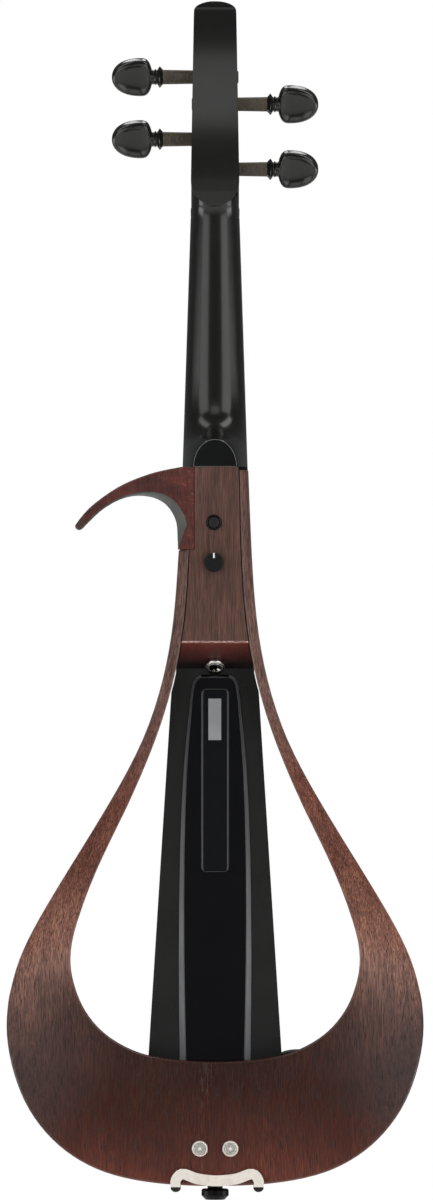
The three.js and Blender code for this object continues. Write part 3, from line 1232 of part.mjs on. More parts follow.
function bridge() {
  const place = ([across, up]) => [across * BRIDGE_FOOT_HALF_WIDTH, bridgeFootDepth + up * BRIDGE_HEIGHT];
  const side = BRIDGE_SIDE_SHARES.map(place);
  const [edge] = side[side.length - 1];
  const crown = Array.from({ length: ARC_STEPS + 1 }, (_, i) => {
    const x = mix(edge, -edge, i / ARC_STEPS);
    return [x, bridgeTop(x)];
  });
  const arch = BRIDGE_ARCH_SHARES.map(place);
  const outline = [
    ...arch, ...side, ...crown, ...mirrored(side), ...mirrored(arch.slice(1)),
  ];
  const heart = HEART_SHARES.map(place);
  const hole = [...heart, ...mirrored(heart.slice(1, -1))];
  const plate = merged(prism(outline, 'z', -BRIDGE_FOOT_THICKNESS / 2, BRIDGE_FOOT_THICKNESS / 2, [hole]));
  const { position } = plate.attributes;
  for (let i = 0; i < position.count; i += 1) {
    const up = (position.getY(i) - bridgeFootDepth) / BRIDGE_HEIGHT;
    position.setZ(i, BRIDGE_Z + position.getZ(i) * mix(1, BRIDGE_TOP_SHARE, up));
  }
  return plate;
}

const pickupFloor = bridgeFootDepth - GLUE_GAP - PICKUP_HEIGHT;

function pickupBox(side, clearance, rise) {
  const across = [side * (PICKUP_INNER - clearance), side * (PICKUP_OUTER + clearance)];
  return box(
    Math.min(...across), Math.max(...across), pickupFloor - (clearance ? GLUE_GAP : 0),
    bridgeFootDepth - GLUE_GAP + rise,
    BRIDGE_Z - PICKUP_WIDTH / 2 - clearance, BRIDGE_Z + PICKUP_WIDTH / 2 + clearance,
  );
}

function wireTop(side) {
  return at(side * PICKUP_WIRE_X, pickupFloor - FIT_GAP, BRIDGE_Z);
}

function tailpieceCrest(z) {
  return tailLine(z) - TAILPIECE_DROP;
}

function tailpieceHalf(z) {
  const share = (z - TAILPIECE_BOTTOM) / (TAILPIECE_TOP - TAILPIECE_BOTTOM);
  return mix(TAILPIECE_END_HALF_WIDTH, TAILPIECE_HALF_WIDTH, share);
}

function tailpieceRing([down, widthShare]) {
  const z = mix(TAILPIECE_TOP, TAILPIECE_BOTTOM, down);
  const half = mix(TAILPIECE_END_HALF_WIDTH, TAILPIECE_HALF_WIDTH, widthShare);
  const rise = TAILPIECE_RISE_SHARE * half;
  const top = Array.from({ length: ARC_STEPS + 1 }, (_, i) => {
    const share = 1 - (2 * i) / ARC_STEPS;
    return at(share * half, tailpieceCrest(z) - rise * share ** 2, z);
  });
  const bottom = top.map((point) => point.clone().setY(point.y - TAILPIECE_THICKNESS)).reverse();
  return [...top, ...bottom];
}

const stringAcross = (name, spacing) => (STRING_NAMES.indexOf(name) - (STRING_NAMES.length - 1) / 2) * spacing;
const tailX = (name) => stringAcross(name, TAIL_SPACING);
const pinPlace = at(0, tailpieceCrest(PIN_Z) - PIN_DROP, PIN_Z);

function tailpieceTopAt(x, z) {
  const half = tailpieceHalf(z);
  return tailpieceCrest(z) - TAILPIECE_RISE_SHARE * half * (x / half) ** 2;
}

function lugPlaces() {
  return [-2, -1, 0, 1, 2].map((step) => step * TAIL_SPACING * (Math.abs(step) === 2 ? 0.92 : 1));
}

function tailpiece() {
  const plate = loft(TAILPIECE_SHARES.map(tailpieceRing));
  const lugs = lugPlaces().map((x) => {
    const top = tailpieceTopAt(x, PIN_Z) - TAILPIECE_THICKNESS / 2;
    return join(
      box(x - LUG_WIDTH / 2, x + LUG_WIDTH / 2, pinPlace.y, top, PIN_Z - LUG_RADIUS, PIN_Z + LUG_RADIUS),
      rod(LUG_RADIUS, at(x - LUG_WIDTH / 2, pinPlace.y, PIN_Z), at(x + LUG_WIDTH / 2, pinPlace.y, PIN_Z), SMALL_SIDES),
    );
  });
  const pin = rod(
    PIN_RADIUS + GLUE_GAP, at(-TAILPIECE_HALF_WIDTH, pinPlace.y, PIN_Z), at(TAILPIECE_HALF_WIDTH, pinPlace.y, PIN_Z),
    SMALL_SIDES,
  );
  const screwHoles = STRING_NAMES.map((name) => rod(
    TUNER_SHAFT_RADIUS + FIT_GAP, at(tailX(name), armTop, SCREW_Z),
    at(tailX(name), tailLine(SCREW_Z) + CUT_OVERRUN, SCREW_Z), SMALL_SIDES,
  ));
  const slots = STRING_NAMES.map((name) => box(
    tailX(name) - LEVER_WIDTH / 2 - FIT_GAP, tailX(name) + LEVER_WIDTH / 2 + FIT_GAP,
    pinPlace.y + LUG_RADIUS / 2, tailLine(HOOK_Z) + CUT_OVERRUN,
    HOOK_Z - HOOK_THICKNESS / 2 - HOOK_SWING, HOOK_Z + HOOK_THICKNESS / 2 + FIT_GAP,
  ));
  return cut(join(plate, lugs), pin, screwHoles, slots);
}

function leverPin() {
  const [end] = lugPlaces().slice(-1);
  const reach = end + LUG_WIDTH / 2;
  return rod(PIN_RADIUS, at(-reach, pinPlace.y, PIN_Z), at(reach, pinPlace.y, PIN_Z), SMALL_SIDES);
}

// Depth where the lever's arm meets the tuner's screw.
const armTop = pinPlace.y - PIN_RADIUS;

function tunerLever(name) {
  const x = tailX(name);
  const [left, right] = [x - LEVER_WIDTH / 2, x + LEVER_WIDTH / 2];
  const hub = rod(LEVER_RADIUS, at(left, pinPlace.y, PIN_Z), at(right, pinPlace.y, PIN_Z), SMALL_SIDES);
  const arm = box(left, right, armTop - LEVER_ARM, armTop, SCREW_Z - LEVER_RADIUS, PIN_Z);
  const reach = prism([
    [pinPlace.y + LEVER_RADIUS / 2, PIN_Z], [pinPlace.y - LEVER_RADIUS, PIN_Z],
    [pinPlace.y - LEVER_RADIUS / 2, HOOK_Z + HOOK_THICKNESS / 2],
    [tailLine(HOOK_Z) + HOOK_PROUD, HOOK_Z + HOOK_THICKNESS / 2], [tailLine(HOOK_Z) + HOOK_PROUD, HOOK_Z - HOOK_THICKNESS / 2],
    [pinPlace.y + LEVER_RADIUS, HOOK_Z - HOOK_THICKNESS / 2],
  ], 'x', left, right);
  const pin = rod(PIN_RADIUS + FIT_GAP, at(left - CUT_OVERRUN, pinPlace.y, PIN_Z), at(right + CUT_OVERRUN, pinPlace.y, PIN_Z), SMALL_SIDES);
  return cut(join(hub, arm, reach), pin);
}

function tunerScrew(name) {
  const x = tailX(name);
  const start = armTop + FIT_GAP;
  const knobLow = tailpieceTopAt(x, SCREW_Z) + TUNER_KNOB_LIFT;
  const knobHigh = knobLow + TUNER_KNOB_HEIGHT;
  const edge = TUNER_KNOB_HEIGHT / 6;
  return turned([
    [0, start], [TUNER_SHAFT_RADIUS, start], [TUNER_SHAFT_RADIUS, knobLow], [TUNER_KNOB_RADIUS, knobLow],
    [TUNER_KNOB_RADIUS, knobHigh - edge], [TUNER_KNOB_RADIUS - edge, knobHigh], [0, knobHigh],
  ], at(x, 0, SCREW_Z), Y_AXIS, SMALL_SIDES);
}

function stringRoute(name) {
  const radius = STRING_RADII[name];
  const lift = radius + STRING_LIFT;
  const side = PEG_SIDES[name];
  const [nutX, bridgeX] = [stringAcross(name, NUT_SPACING), stringAcross(name, BRIDGE_SPACING)];
  const centre = pegPlace(name);
  const wrap = PEG_RADIUS_AT_COLLAR + FIT_GAP + radius;
  const nutPoint = at(nutX, nutTop(nutX) + lift, NUT_Z + NUT_THICKNESS / 2);
  const gap = [centre.y - nutPoint.y, centre.z - nutPoint.z];
  const reach = Math.hypot(...gap);
  // The straight run meets the peg where its radius is square to the run.
  const tangent = Math.atan2(gap[1], gap[0]) + Math.PI + Math.acos(wrap / reach);
  const firstX = side * WINDING_START_SHARE * PEGBOX_HALF_WIDTH;
  const steps = WINDING_TURNS * WINDING_STEPS;
  const winding = Array.from({ length: steps + 1 }, (_, i) => {
    const turn = tangent + (2 * Math.PI * i) / WINDING_STEPS;
    const x = firstX - side * WINDING_PITCH * (i / WINDING_STEPS);
    return at(x, centre.y + wrap * Math.cos(turn), centre.z + wrap * Math.sin(turn));
  });
  return [
    at(tailX(name), tailLine(HOOK_Z), HOOK_Z + HOOK_THICKNESS / 2 + FIT_GAP),
    at(bridgeX, bridgeTop(bridgeX) + lift, BRIDGE_Z),
    nutPoint, ...winding,
  ];
}

// Least distance between lengths of a string that are half a turn or more apart, less its
// thickness. It is measured on the string from the nut to its end.
function windingGap(name) {
  const route = stringRoute(name).slice(2);
  const samples = [{ point: route[0], reach: 0 }];
  route.slice(1).forEach((end, i) => {
    const from = samples[samples.length - 1].reach;
    const length = route[i].distanceTo(end);
    for (let k = 1; k <= WINDING_SAMPLES; k += 1) {
      const share = k / WINDING_SAMPLES;
      samples.push({ point: route[i].clone().lerp(end, share), reach: from + share * length });
    }
  });
  const half = Math.PI * PEG_RADIUS_AT_COLLAR;
  let least = Infinity;
  samples.forEach(({ point, reach }) => samples.forEach((other) => {
    if (other.reach - reach > half) {
      least = Math.min(least, point.distanceTo(other.point));
    }
  }));
  return least - 2 * STRING_RADII[name];
}

// Chin rest and clamp

const postX = (side) => CLAMP_X + side * POST_SPREAD;
const footBack = -FOOT_CORK - 2 * GLUE_GAP - FOOT_THICKNESS;

function footOutline() {
  const shoulder = FOOT_SHOULDER_SHARE * POST_SPREAD;
  const middle = smooth([
    [-POST_SPREAD, POST_Z], [-POST_SPREAD, FOOT_SHOULDER_Z / 2], [-shoulder, FOOT_SHOULDER_Z],
    [-shoulder * 0.55, mix(FOOT_MIDDLE_Z, FOOT_SHOULDER_Z, 0.3)], [0, FOOT_MIDDLE_Z],
    [shoulder * 0.55, mix(FOOT_MIDDLE_Z, FOOT_SHOULDER_Z, 0.3)], [shoulder, FOOT_SHOULDER_Z],
    [POST_SPREAD, FOOT_SHOULDER_Z / 2], [POST_SPREAD, POST_Z],
  ], 4 * ARC_STEPS);
  const offset = (size) => middle.map(([x, z], i) => {
    const before = middle[Math.max(i - 1, 0)];
    const after = middle[Math.min(i + 1, middle.length - 1)];
    const run = new THREE.Vector2(after[0] - before[0], after[1] - before[1]).normalize();
    const half = size * mix(1, FOOT_ARM_SHARE, Math.min(Math.abs(x) / POST_SPREAD, 1) ** 4);
    return [CLAMP_X + x - run.y * half, z + run.x * half];
  });
  const arm = (FOOT_ARM_SHARE * FOOT_WIDTH) / 2;
  const end = (side) => Array.from({ length: ARC_STEPS - 1 }, (_, i) => {
    const angle = (Math.PI * (i + 1)) / ARC_STEPS;
    return [postX(side) + arm * Math.cos(angle), POST_Z - FOOT_END_REACH * Math.sin(angle)];
  });
  return [...offset(FOOT_WIDTH / 2), ...end(1), ...offset(-FOOT_WIDTH / 2).reverse(), ...end(-1)];
}

function clampFoot() {
  const strip = prism(footOutline(), 'y', footBack, footBack + FOOT_THICKNESS);
  const posts = [-1, 1].flatMap((side) => [
    rod(POST_RADIUS, at(postX(side), footBack, POST_Z), at(postX(side), FOOT_POST_REACH, POST_Z), SMALL_SIDES),
  ]);
  return join(strip, posts);
}

function footCork() {
  const edge = FOOT_WIDTH / 4;
  const shoulder = FOOT_SHOULDER_SHARE * POST_SPREAD - edge;
  const upper = smooth([
    [-shoulder, FOOT_SHOULDER_Z + edge], [0, FOOT_MIDDLE_Z + edge], [shoulder, FOOT_SHOULDER_Z + edge],
  ], 2 * ARC_STEPS);
  const lower = upper.map(([x, z]) => [x, z - 2 * edge]).reverse();
  const outline = [...upper, ...lower].map(([x, z]) => [CLAMP_X + x, z]);
  return prism(outline, 'y', -FOOT_CORK - GLUE_GAP, -GLUE_GAP);
}

function clampBarrel(side) {
  const inner = POST_RADIUS + GLUE_GAP;
  const edge = BARREL_RADIUS / 8;
  return turned([
    [inner, BARREL_BOTTOM], [BARREL_RADIUS - edge, BARREL_BOTTOM], [BARREL_RADIUS, BARREL_BOTTOM + edge],
    [BARREL_RADIUS, BARREL_TOP - edge], [BARREL_RADIUS - edge, BARREL_TOP], [inner, BARREL_TOP], [inner, BARREL_BOTTOM],
  ], at(postX(side), 0, POST_Z), Y_AXIS, SMALL_SIDES);
}

const bracketFront = BRACKET_DEPTH + BRACKET_THICKNESS;

function clampBracket() {
  const bar = box(postX(-1), postX(1), BRACKET_DEPTH, bracketFront, BRACKET_LOW, BRACKET_HIGH);
  const ends = [-1, 1].map((side) => join(
    rod(BRACKET_EAR_RADIUS, at(postX(side), BRACKET_DEPTH, BRACKET_LOW), at(postX(side), bracketFront, BRACKET_LOW)),
    rod(POST_RADIUS, at(postX(side), BRACKET_POST_REACH, POST_Z), at(postX(side), bracketFront, POST_Z), SMALL_SIDES),
  ));
  const holes = [-1, 1].map((side) => rod(
    BRACKET_SCREW_RADIUS + FIT_GAP, at(CLAMP_X + side * BRACKET_SCREW_X, BRACKET_DEPTH - CUT_OVERRUN, bracketMiddle),
    at(CLAMP_X + side * BRACKET_SCREW_X, bracketFront + CUT_OVERRUN, bracketMiddle), SMALL_SIDES,
  ));
  return cut(join(bar, ends), holes);
}

const bracketMiddle = (BRACKET_LOW + BRACKET_HIGH) / 2;

function bracketScrew(side) {
  const head = BRACKET_DEPTH - GLUE_GAP;
  const top = head - BRACKET_SCREW_HEAD_HEIGHT;
  const edge = BRACKET_SCREW_HEAD_HEIGHT / 3;
  return turned([
    [0, top], [BRACKET_SCREW_HEAD_RADIUS - edge, top], [BRACKET_SCREW_HEAD_RADIUS, top + edge],
    [BRACKET_SCREW_HEAD_RADIUS, head], [BRACKET_SCREW_RADIUS, head],
    [BRACKET_SCREW_RADIUS, BRACKET_DEPTH + BRACKET_SCREW_LENGTH], [0, BRACKET_DEPTH + BRACKET_SCREW_LENGTH],
  ], at(CLAMP_X + side * BRACKET_SCREW_X, 0, bracketMiddle), Y_AXIS, SMALL_SIDES);
}

const corkTop = topPlateSurface(REST_FOOT_INNER, REST_FOOT_LOW) + FIT_GAP + CORK_THICKNESS;

function chinRest() {
  const points = REST_SHARES.map(([across, up]) => [across * REST_HALF_WIDTH, up * REST_HEIGHT]);
  const outline = smooth([...points, points[0]], 2 * points.length).slice(0, -1);
  const shape = new THREE.Shape(outline.map(([x, z]) => new THREE.Vector2(x, z)));
  const slab = new THREE.ExtrudeGeometry(shape, {
    depth: REST_TOP - REST_UNDERSIDE - 2 * REST_BEVEL, bevelThickness: REST_BEVEL, bevelSize: REST_BEVEL,
    bevelOffset: -REST_BEVEL, bevelSegments: 2,
  });
  slab.applyMatrix4(new THREE.Matrix4().makeBasis(X_AXIS, Z_AXIS, Y_AXIS.clone().negate()))
    .translate(0, REST_TOP - REST_BEVEL, 0);
  const dish = new THREE.SphereGeometry(1, ROUND_SIDES, ROUND_SIDES / 2)
    .scale(DISH_HALF_WIDTH, DISH_DEPTH, DISH_HALF_HEIGHT)
    .translate(DISH_X_SHARE * REST_HALF_WIDTH, REST_TOP, DISH_Z_SHARE * REST_HEIGHT);
  const tunnel = box(
    -TUNNEL_HALF_WIDTH, TUNNEL_HALF_WIDTH, REST_UNDERSIDE - CUT_OVERRUN, TUNNEL_TOP,
    -CUT_OVERRUN, REST_HEIGHT,
  );
  const bracketRoom = box(
    -REST_HALF_WIDTH, REST_HALF_WIDTH, REST_UNDERSIDE - CUT_OVERRUN, bracketFront + FIT_GAP,
    -CUT_OVERRUN, BRACKET_HIGH + FIT_GAP,
  );
  const feet = [-1, 1].map((side) => box(
    ...[side * REST_FOOT_INNER, side * REST_FOOT_OUTER].sort((a, b) => a - b),
    corkTop + GLUE_GAP, REST_TOP - DISH_DEPTH - REST_BEVEL, REST_FOOT_LOW, REST_FOOT_HIGH,
  ));
  const screwHoles = [-1, 1].map((side) => rod(
    BRACKET_SCREW_RADIUS + GLUE_GAP, at(CLAMP_X + side * BRACKET_SCREW_X, BRACKET_DEPTH, bracketMiddle),
    at(CLAMP_X + side * BRACKET_SCREW_X, BRACKET_DEPTH + BRACKET_SCREW_LENGTH + GLUE_GAP, bracketMiddle), SMALL_SIDES,
  ));
  return cut(join(cut(slab, tunnel, bracketRoom), feet), dish, screwHoles);
}

function restCork(side) {
  const ring = (z) => {
    const across = [REST_FOOT_INNER, (REST_FOOT_INNER + REST_FOOT_OUTER) / 2, REST_FOOT_OUTER];
    return [
      ...across.map((x) => at(side * x, topPlateSurface(x, z) + FIT_GAP, z)),
      at(side * REST_FOOT_OUTER, corkTop, z), at(side * REST_FOOT_INNER, corkTop, z),
    ];
  };
  return loft([ring(REST_FOOT_LOW), ring(REST_FOOT_HIGH)]);
}

// Wires

const channelX = (WIRE_CHANNEL_LEFT + WIRE_CHANNEL_RIGHT) / 2;
const controlsBack = CONTROL_WALL + 2 * FIT_GAP + POT_HEIGHT + 2 * WIRE_RADIUS;

function pickupWire(side) {
  const inY = mix(BODY_BACK, BODY_HOLLOW_FLOOR, side > 0 ? 0.65 : 0.35);
  const channelY = mix(BLOCK_DEPTH, WIRE_CHANNEL_FLOOR, side > 0 ? 0.76 : 0.32);
  const exitY = mix(CONTROL_WALL, BLOCK_DEPTH, side > 0 ? 0.8 : 0.66);
  const exitZ = CONTROL_HOLLOW_BOTTOM + (side > 0 ? WIRE_EXIT_HIGH : WIRE_EXIT_LOW);
  const top = wireTop(side);
  return tube([
    top, at(top.x, BODY_HOLLOW_FLOOR, BRIDGE_Z), at(top.x, inY, BRIDGE_Z + CUT_OVERRUN),
    at(side * BODY_HOLLOW_END_HALF_WIDTH * 0.6, inY, mix(BODY_HOLLOW_TAPER, BODY_HOLLOW_TOP, 0.5)),
    at(channelX, channelY, BODY_HOLLOW_TOP - 2 * CUT_OVERRUN),
    at(channelX, channelY, exitZ), at(channelX, exitY, exitZ + 1.5 * CUT_OVERRUN),
    at(CONTROL_X + side * POT_SHAFT_RADIUS, controlsBack, KNOB_Z + side * POT_SHAFT_RADIUS),
  ], WIRE_RADIUS, 6);
}

function outputWire() {
  const start = jackPoint(-JACK_LENGTH - GLUE_GAP - WIRE_RADIUS);
  const channelY = mix(BLOCK_DEPTH, WIRE_CHANNEL_FLOOR, 0.6);
  return tube([
    start, at(0, channelY, start.z + 2 * CUT_OVERRUN), at(0, channelY, CONTROL_HOLLOW_BOTTOM + CUT_OVERRUN / 2),
    at(0, mix(CONTROL_WALL, BLOCK_DEPTH, 0.7), CONTROL_HOLLOW_BOTTOM + 2 * CUT_OVERRUN),
    at(CONTROL_X + POT_RADIUS / 2, controlsBack, KNOB_Z - POT_SHAFT_RADIUS),
  ], WIRE_RADIUS, 6);
}

// The instrument

const violin = new THREE.Group();

function add(name, geometry, material) {
  const mesh = new THREE.Mesh(merged(geometry), material);
  mesh.geometry.computeVertexNormals();
  mesh.name = name;
  violin.add(mesh);
}

add('neck_and_pegbox', neckAndPegbox(), FINISHES.blackPaint());
add('heel_cap', heelCap(), FINISHES.glossBlack());
add('fingerboard', fingerboard(), FINISHES.ebony());
add('nut', nut(), FINISHES.ebony());
add('frame', frameSolid(), FINISHES.darkWalnut());
add('rear_block', rearBlock(), FINISHES.walnut());
add('upper_horn', upperHorn(), FINISHES.mahogany());
add('body_core', bodyCore(), FINISHES.satinBlack());
add('top_plate', topPlate(), FINISHES.spruce());
add('back_cover', backCover(), FINISHES.glossBlack());
add('label_plate', labelPlate(), FINISHES.greyPlate());
add('volume_knob', volumeKnob(), FINISHES.blackPlastic());
add('pot_shaft', potShaft(), FINISHES.steel());
add('pot_body', potBody(), FINISHES.steel());
add('switch_button', switchButton(), FINISHES.blackPlastic());
add('switch_bezel', switchBezel(), FINISHES.blackPlastic());
add('switch_body', switchBody(), FINISHES.blackPlastic());
add('jack_barrel', jackBarrel(), FINISHES.chrome());
add('jack_nut', jackNut(), FINISHES.chrome());
add('end_button', endButton(), FINISHES.ebony());
add('saddle', saddle(), FINISHES.ebony());
add('tailgut', tailgut(), FINISHES.wire());
add('bridge', bridge(), FINISHES.maple());
add('tailpiece', tailpiece(), FINISHES.blackPlastic());
add('lever_pin', leverPin(), FINISHES.steel());
add('clamp_foot', clampFoot(), FINISHES.nickel());
add('clamp_foot_cork', footCork(), FINISHES.cork());
add('clamp_bracket', clampBracket(), FINISHES.nickel());
add('chin_rest', chinRest(), FINISHES.blackPlastic());
add('output_wire', outputWire(), FINISHES.wire());
[['treble', -1], ['bass', 1]].forEach(([name, side]) => {
  add(`frame_bolt_${name}`, frameBolt(side), FINISHES.steel());
  add(`bolt_cup_${name}`, boltCup(side), FINISHES.nickel());
  add(`clamp_barrel_${name}`, clampBarrel(side), FINISHES.nickel());
  add(`bracket_screw_${name}`, bracketScrew(side), FINISHES.steel());
  add(`rest_cork_${name}`, restCork(side), FINISHES.cork());
  add(`pickup_${name}`, pickupBox(side, 0, 0), FINISHES.piezo());
  add(`pickup_wire_${name}`, pickupWire(side), FINISHES.wire());
});
STRING_NAMES.forEach((name) => {
  add(`peg_${name}`, peg(name), FINISHES.ebony());
  add(`tuner_screw_${name}`, tunerScrew(name), FINISHES.steel());
  add(`tuner_lever_${name}`, tunerLever(name), FINISHES.steel());
  add(`string_${name}`, tube(stringRoute(name), STRING_RADII[name]), FINISHES.steel());
  console.log(`string_${name}: least gap between turns ${windingGap(name).toFixed(2)} mm`);
});

violin.position.set(0, -HANGER_DEPTH, HANGER_DISTANCE - NUT_Z);

export default violin;
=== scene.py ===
import json
import math

import bmesh
import bpy
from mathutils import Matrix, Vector


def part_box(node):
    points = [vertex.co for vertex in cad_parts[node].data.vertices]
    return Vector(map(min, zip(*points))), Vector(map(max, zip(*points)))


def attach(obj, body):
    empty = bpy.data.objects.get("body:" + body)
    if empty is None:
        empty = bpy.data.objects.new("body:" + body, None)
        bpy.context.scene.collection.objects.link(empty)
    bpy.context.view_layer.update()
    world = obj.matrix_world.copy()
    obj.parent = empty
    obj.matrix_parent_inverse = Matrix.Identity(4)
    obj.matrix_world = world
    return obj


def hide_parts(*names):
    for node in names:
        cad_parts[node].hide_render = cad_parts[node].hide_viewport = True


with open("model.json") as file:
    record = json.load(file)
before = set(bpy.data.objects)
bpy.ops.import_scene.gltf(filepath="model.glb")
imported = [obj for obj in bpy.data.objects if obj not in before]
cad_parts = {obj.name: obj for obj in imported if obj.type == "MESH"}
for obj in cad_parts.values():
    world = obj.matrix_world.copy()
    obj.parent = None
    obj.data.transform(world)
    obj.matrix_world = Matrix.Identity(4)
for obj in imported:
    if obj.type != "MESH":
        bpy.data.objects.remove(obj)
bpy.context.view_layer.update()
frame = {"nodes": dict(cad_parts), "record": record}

NODES = frame["nodes"]
BODIES = frame["record"]["behaviour"]["bodies"]
BODY_OF = {node: body for body, held in BODIES.items() for node in held}
STRINGS = ("e", "a", "d", "g")
MM = 0.001
BACK_PLANE = -24.0 * MM


# Camera: a long lens straight at the back, as the photograph was taken

SENSOR = 36.0
CAMERA_DISTANCE = 9.0
CAMERA_X, CAMERA_Z = 0.0007, -0.1853
SHOWN_HEIGHT = 0.5976
FARTHEST_SEEN = 50.0
eye = bpy.data.objects.new("camera", bpy.data.cameras.new("camera"))
bpy.context.scene.collection.objects.link(eye)
eye.data.sensor_width = SENSOR
eye.data.sensor_fit = "AUTO"
eye.data.lens = SENSOR * CAMERA_DISTANCE / SHOWN_HEIGHT
eye.location = (CAMERA_X, BACK_PLANE - CAMERA_DISTANCE, CAMERA_Z)
eye.rotation_euler = (math.pi / 2, 0.0, 0.0)
eye.data.clip_end = FARTHEST_SEEN
bpy.context.scene.camera = eye
bpy.context.scene.view_settings.view_transform = "Standard"


# Studio

# The wide left and right boxes leave a dark gap at the camera between them, so that flat gloss
# stays black and the round neck shows two broad highlights. The head box lifts the back of the
# head, the low pair the sides of the frame's bowl, the upper pair its shoulders, and the front
# boxes light the side of the strings. Three boxes give light and don't mirror in the gloss.
# Each row holds its place, aim, width, height, power and whether gloss mirrors it.
SOFT_BOXES = {
    "left box": ((-1.03, -1.23, 0.1), (0.0, 0.0, 0.1), 1.3, 1.2, 9, True),
    "right box": ((1.03, -1.23, 0.1), (0.0, 0.0, 0.1), 1.3, 1.2, 10, True),
    "head box": ((0.0, -0.5, 0.145), (0.0, 0.0, 0.145), 0.16, 0.26, 0.17, True),
    "low left box": ((-1.5, -0.18, -0.46), (0.0, -0.18, -0.46), 0.98, 0.5, 5.4, True),
    "low right box": ((1.5, -0.18, -0.46), (0.0, -0.18, -0.46), 0.98, 0.5, 5.4, True),
    "top box": ((0.0, -0.5, 1.5), (0.0, 0.0, 0.0), 1.4, 1.1, 9, False),
    "upper left box": ((-1.02, -0.3, 1.3), (0.0, 0.0, -0.1), 0.62, 1.5, 7, True),
    "upper right box": ((1.02, -0.3, 1.3), (0.0, 0.0, -0.1), 0.62, 1.5, 10, True),
    "front left box": ((-0.32, 1.3, 1.5), (0.0, 0.0, -0.1), 0.5, 0.9, 6, True),
    "front right box": ((0.3, 1.3, 1.5), (0.0, 0.0, -0.1), 0.5, 0.9, 6, True),
    "front wide left box": ((-1.0, 1.6, 0.1), (0.0, 0.0, -0.2), 1.0, 1.3, 13, False),
    "front wide right box": ((1.1, 1.5, 0.2), (0.0, 0.0, -0.2), 1.0, 1.3, 12, False),
}
SKY_WHITE = (1.0, 1.0, 1.0, 1.0)
ROOM_LIGHT = (0.95, 0.97, 1.0, 1.0)
ROOM_POWER = 0.1


def soft_box(name, place, aim, width, height, power, mirrored):
    lamp = bpy.data.objects.new(name, bpy.data.lights.new(name, "AREA"))
    bpy.context.scene.collection.objects.link(lamp)
    lamp.data.shape = "RECTANGLE"
    lamp.data.size = width
    lamp.data.size_y = height
    lamp.data.energy = power
    lamp.location = place
    lamp.rotation_euler = (Vector(aim) - Vector(place)).to_track_quat("-Z", "Y").to_euler()
    lamp.visible_camera = False
    lamp.visible_glossy = mirrored


def studio_sky():
    """White where the camera sees it, and a faint cool room for all other rays."""
    sky = bpy.data.worlds.new("studio")
    bpy.context.scene.world = sky
    sky.use_nodes = True
    nodes, links = sky.node_tree.nodes, sky.node_tree.links
    rays = nodes.new("ShaderNodeLightPath")
    white = nodes.new("ShaderNodeBackground")
    white.inputs["Color"].default_value = SKY_WHITE
    room = nodes["Background"]
    room.inputs["Color"].default_value = ROOM_LIGHT
    room.inputs["Strength"].default_value = ROOM_POWER
    seen = nodes.new("ShaderNodeMixShader")
    links.new(rays.outputs["Is Camera Ray"], seen.inputs["Fac"])
    links.new(room.outputs["Background"], seen.inputs[1])
    links.new(white.outputs["Background"], seen.inputs[2])
    links.new(seen.outputs["Shader"], nodes["World Output"].inputs["Surface"])


for box_name, box_row in SOFT_BOXES.items():
    soft_box(box_name, *box_row)
studio_sky()


# Finishes

def tone(red, green, blue):
    """A colour as it is read off a screen, from 0 to 255."""
    def light(value):
        value /= 255.0
        return value / 12.92 if value <= 0.04045 else ((value + 0.055) / 1.055) ** 2.4
    return (light(red), light(green), light(blue), 1.0)


def darker(colour, share):
    return tuple(share * value for value in colour[:3]) + (1.0,)


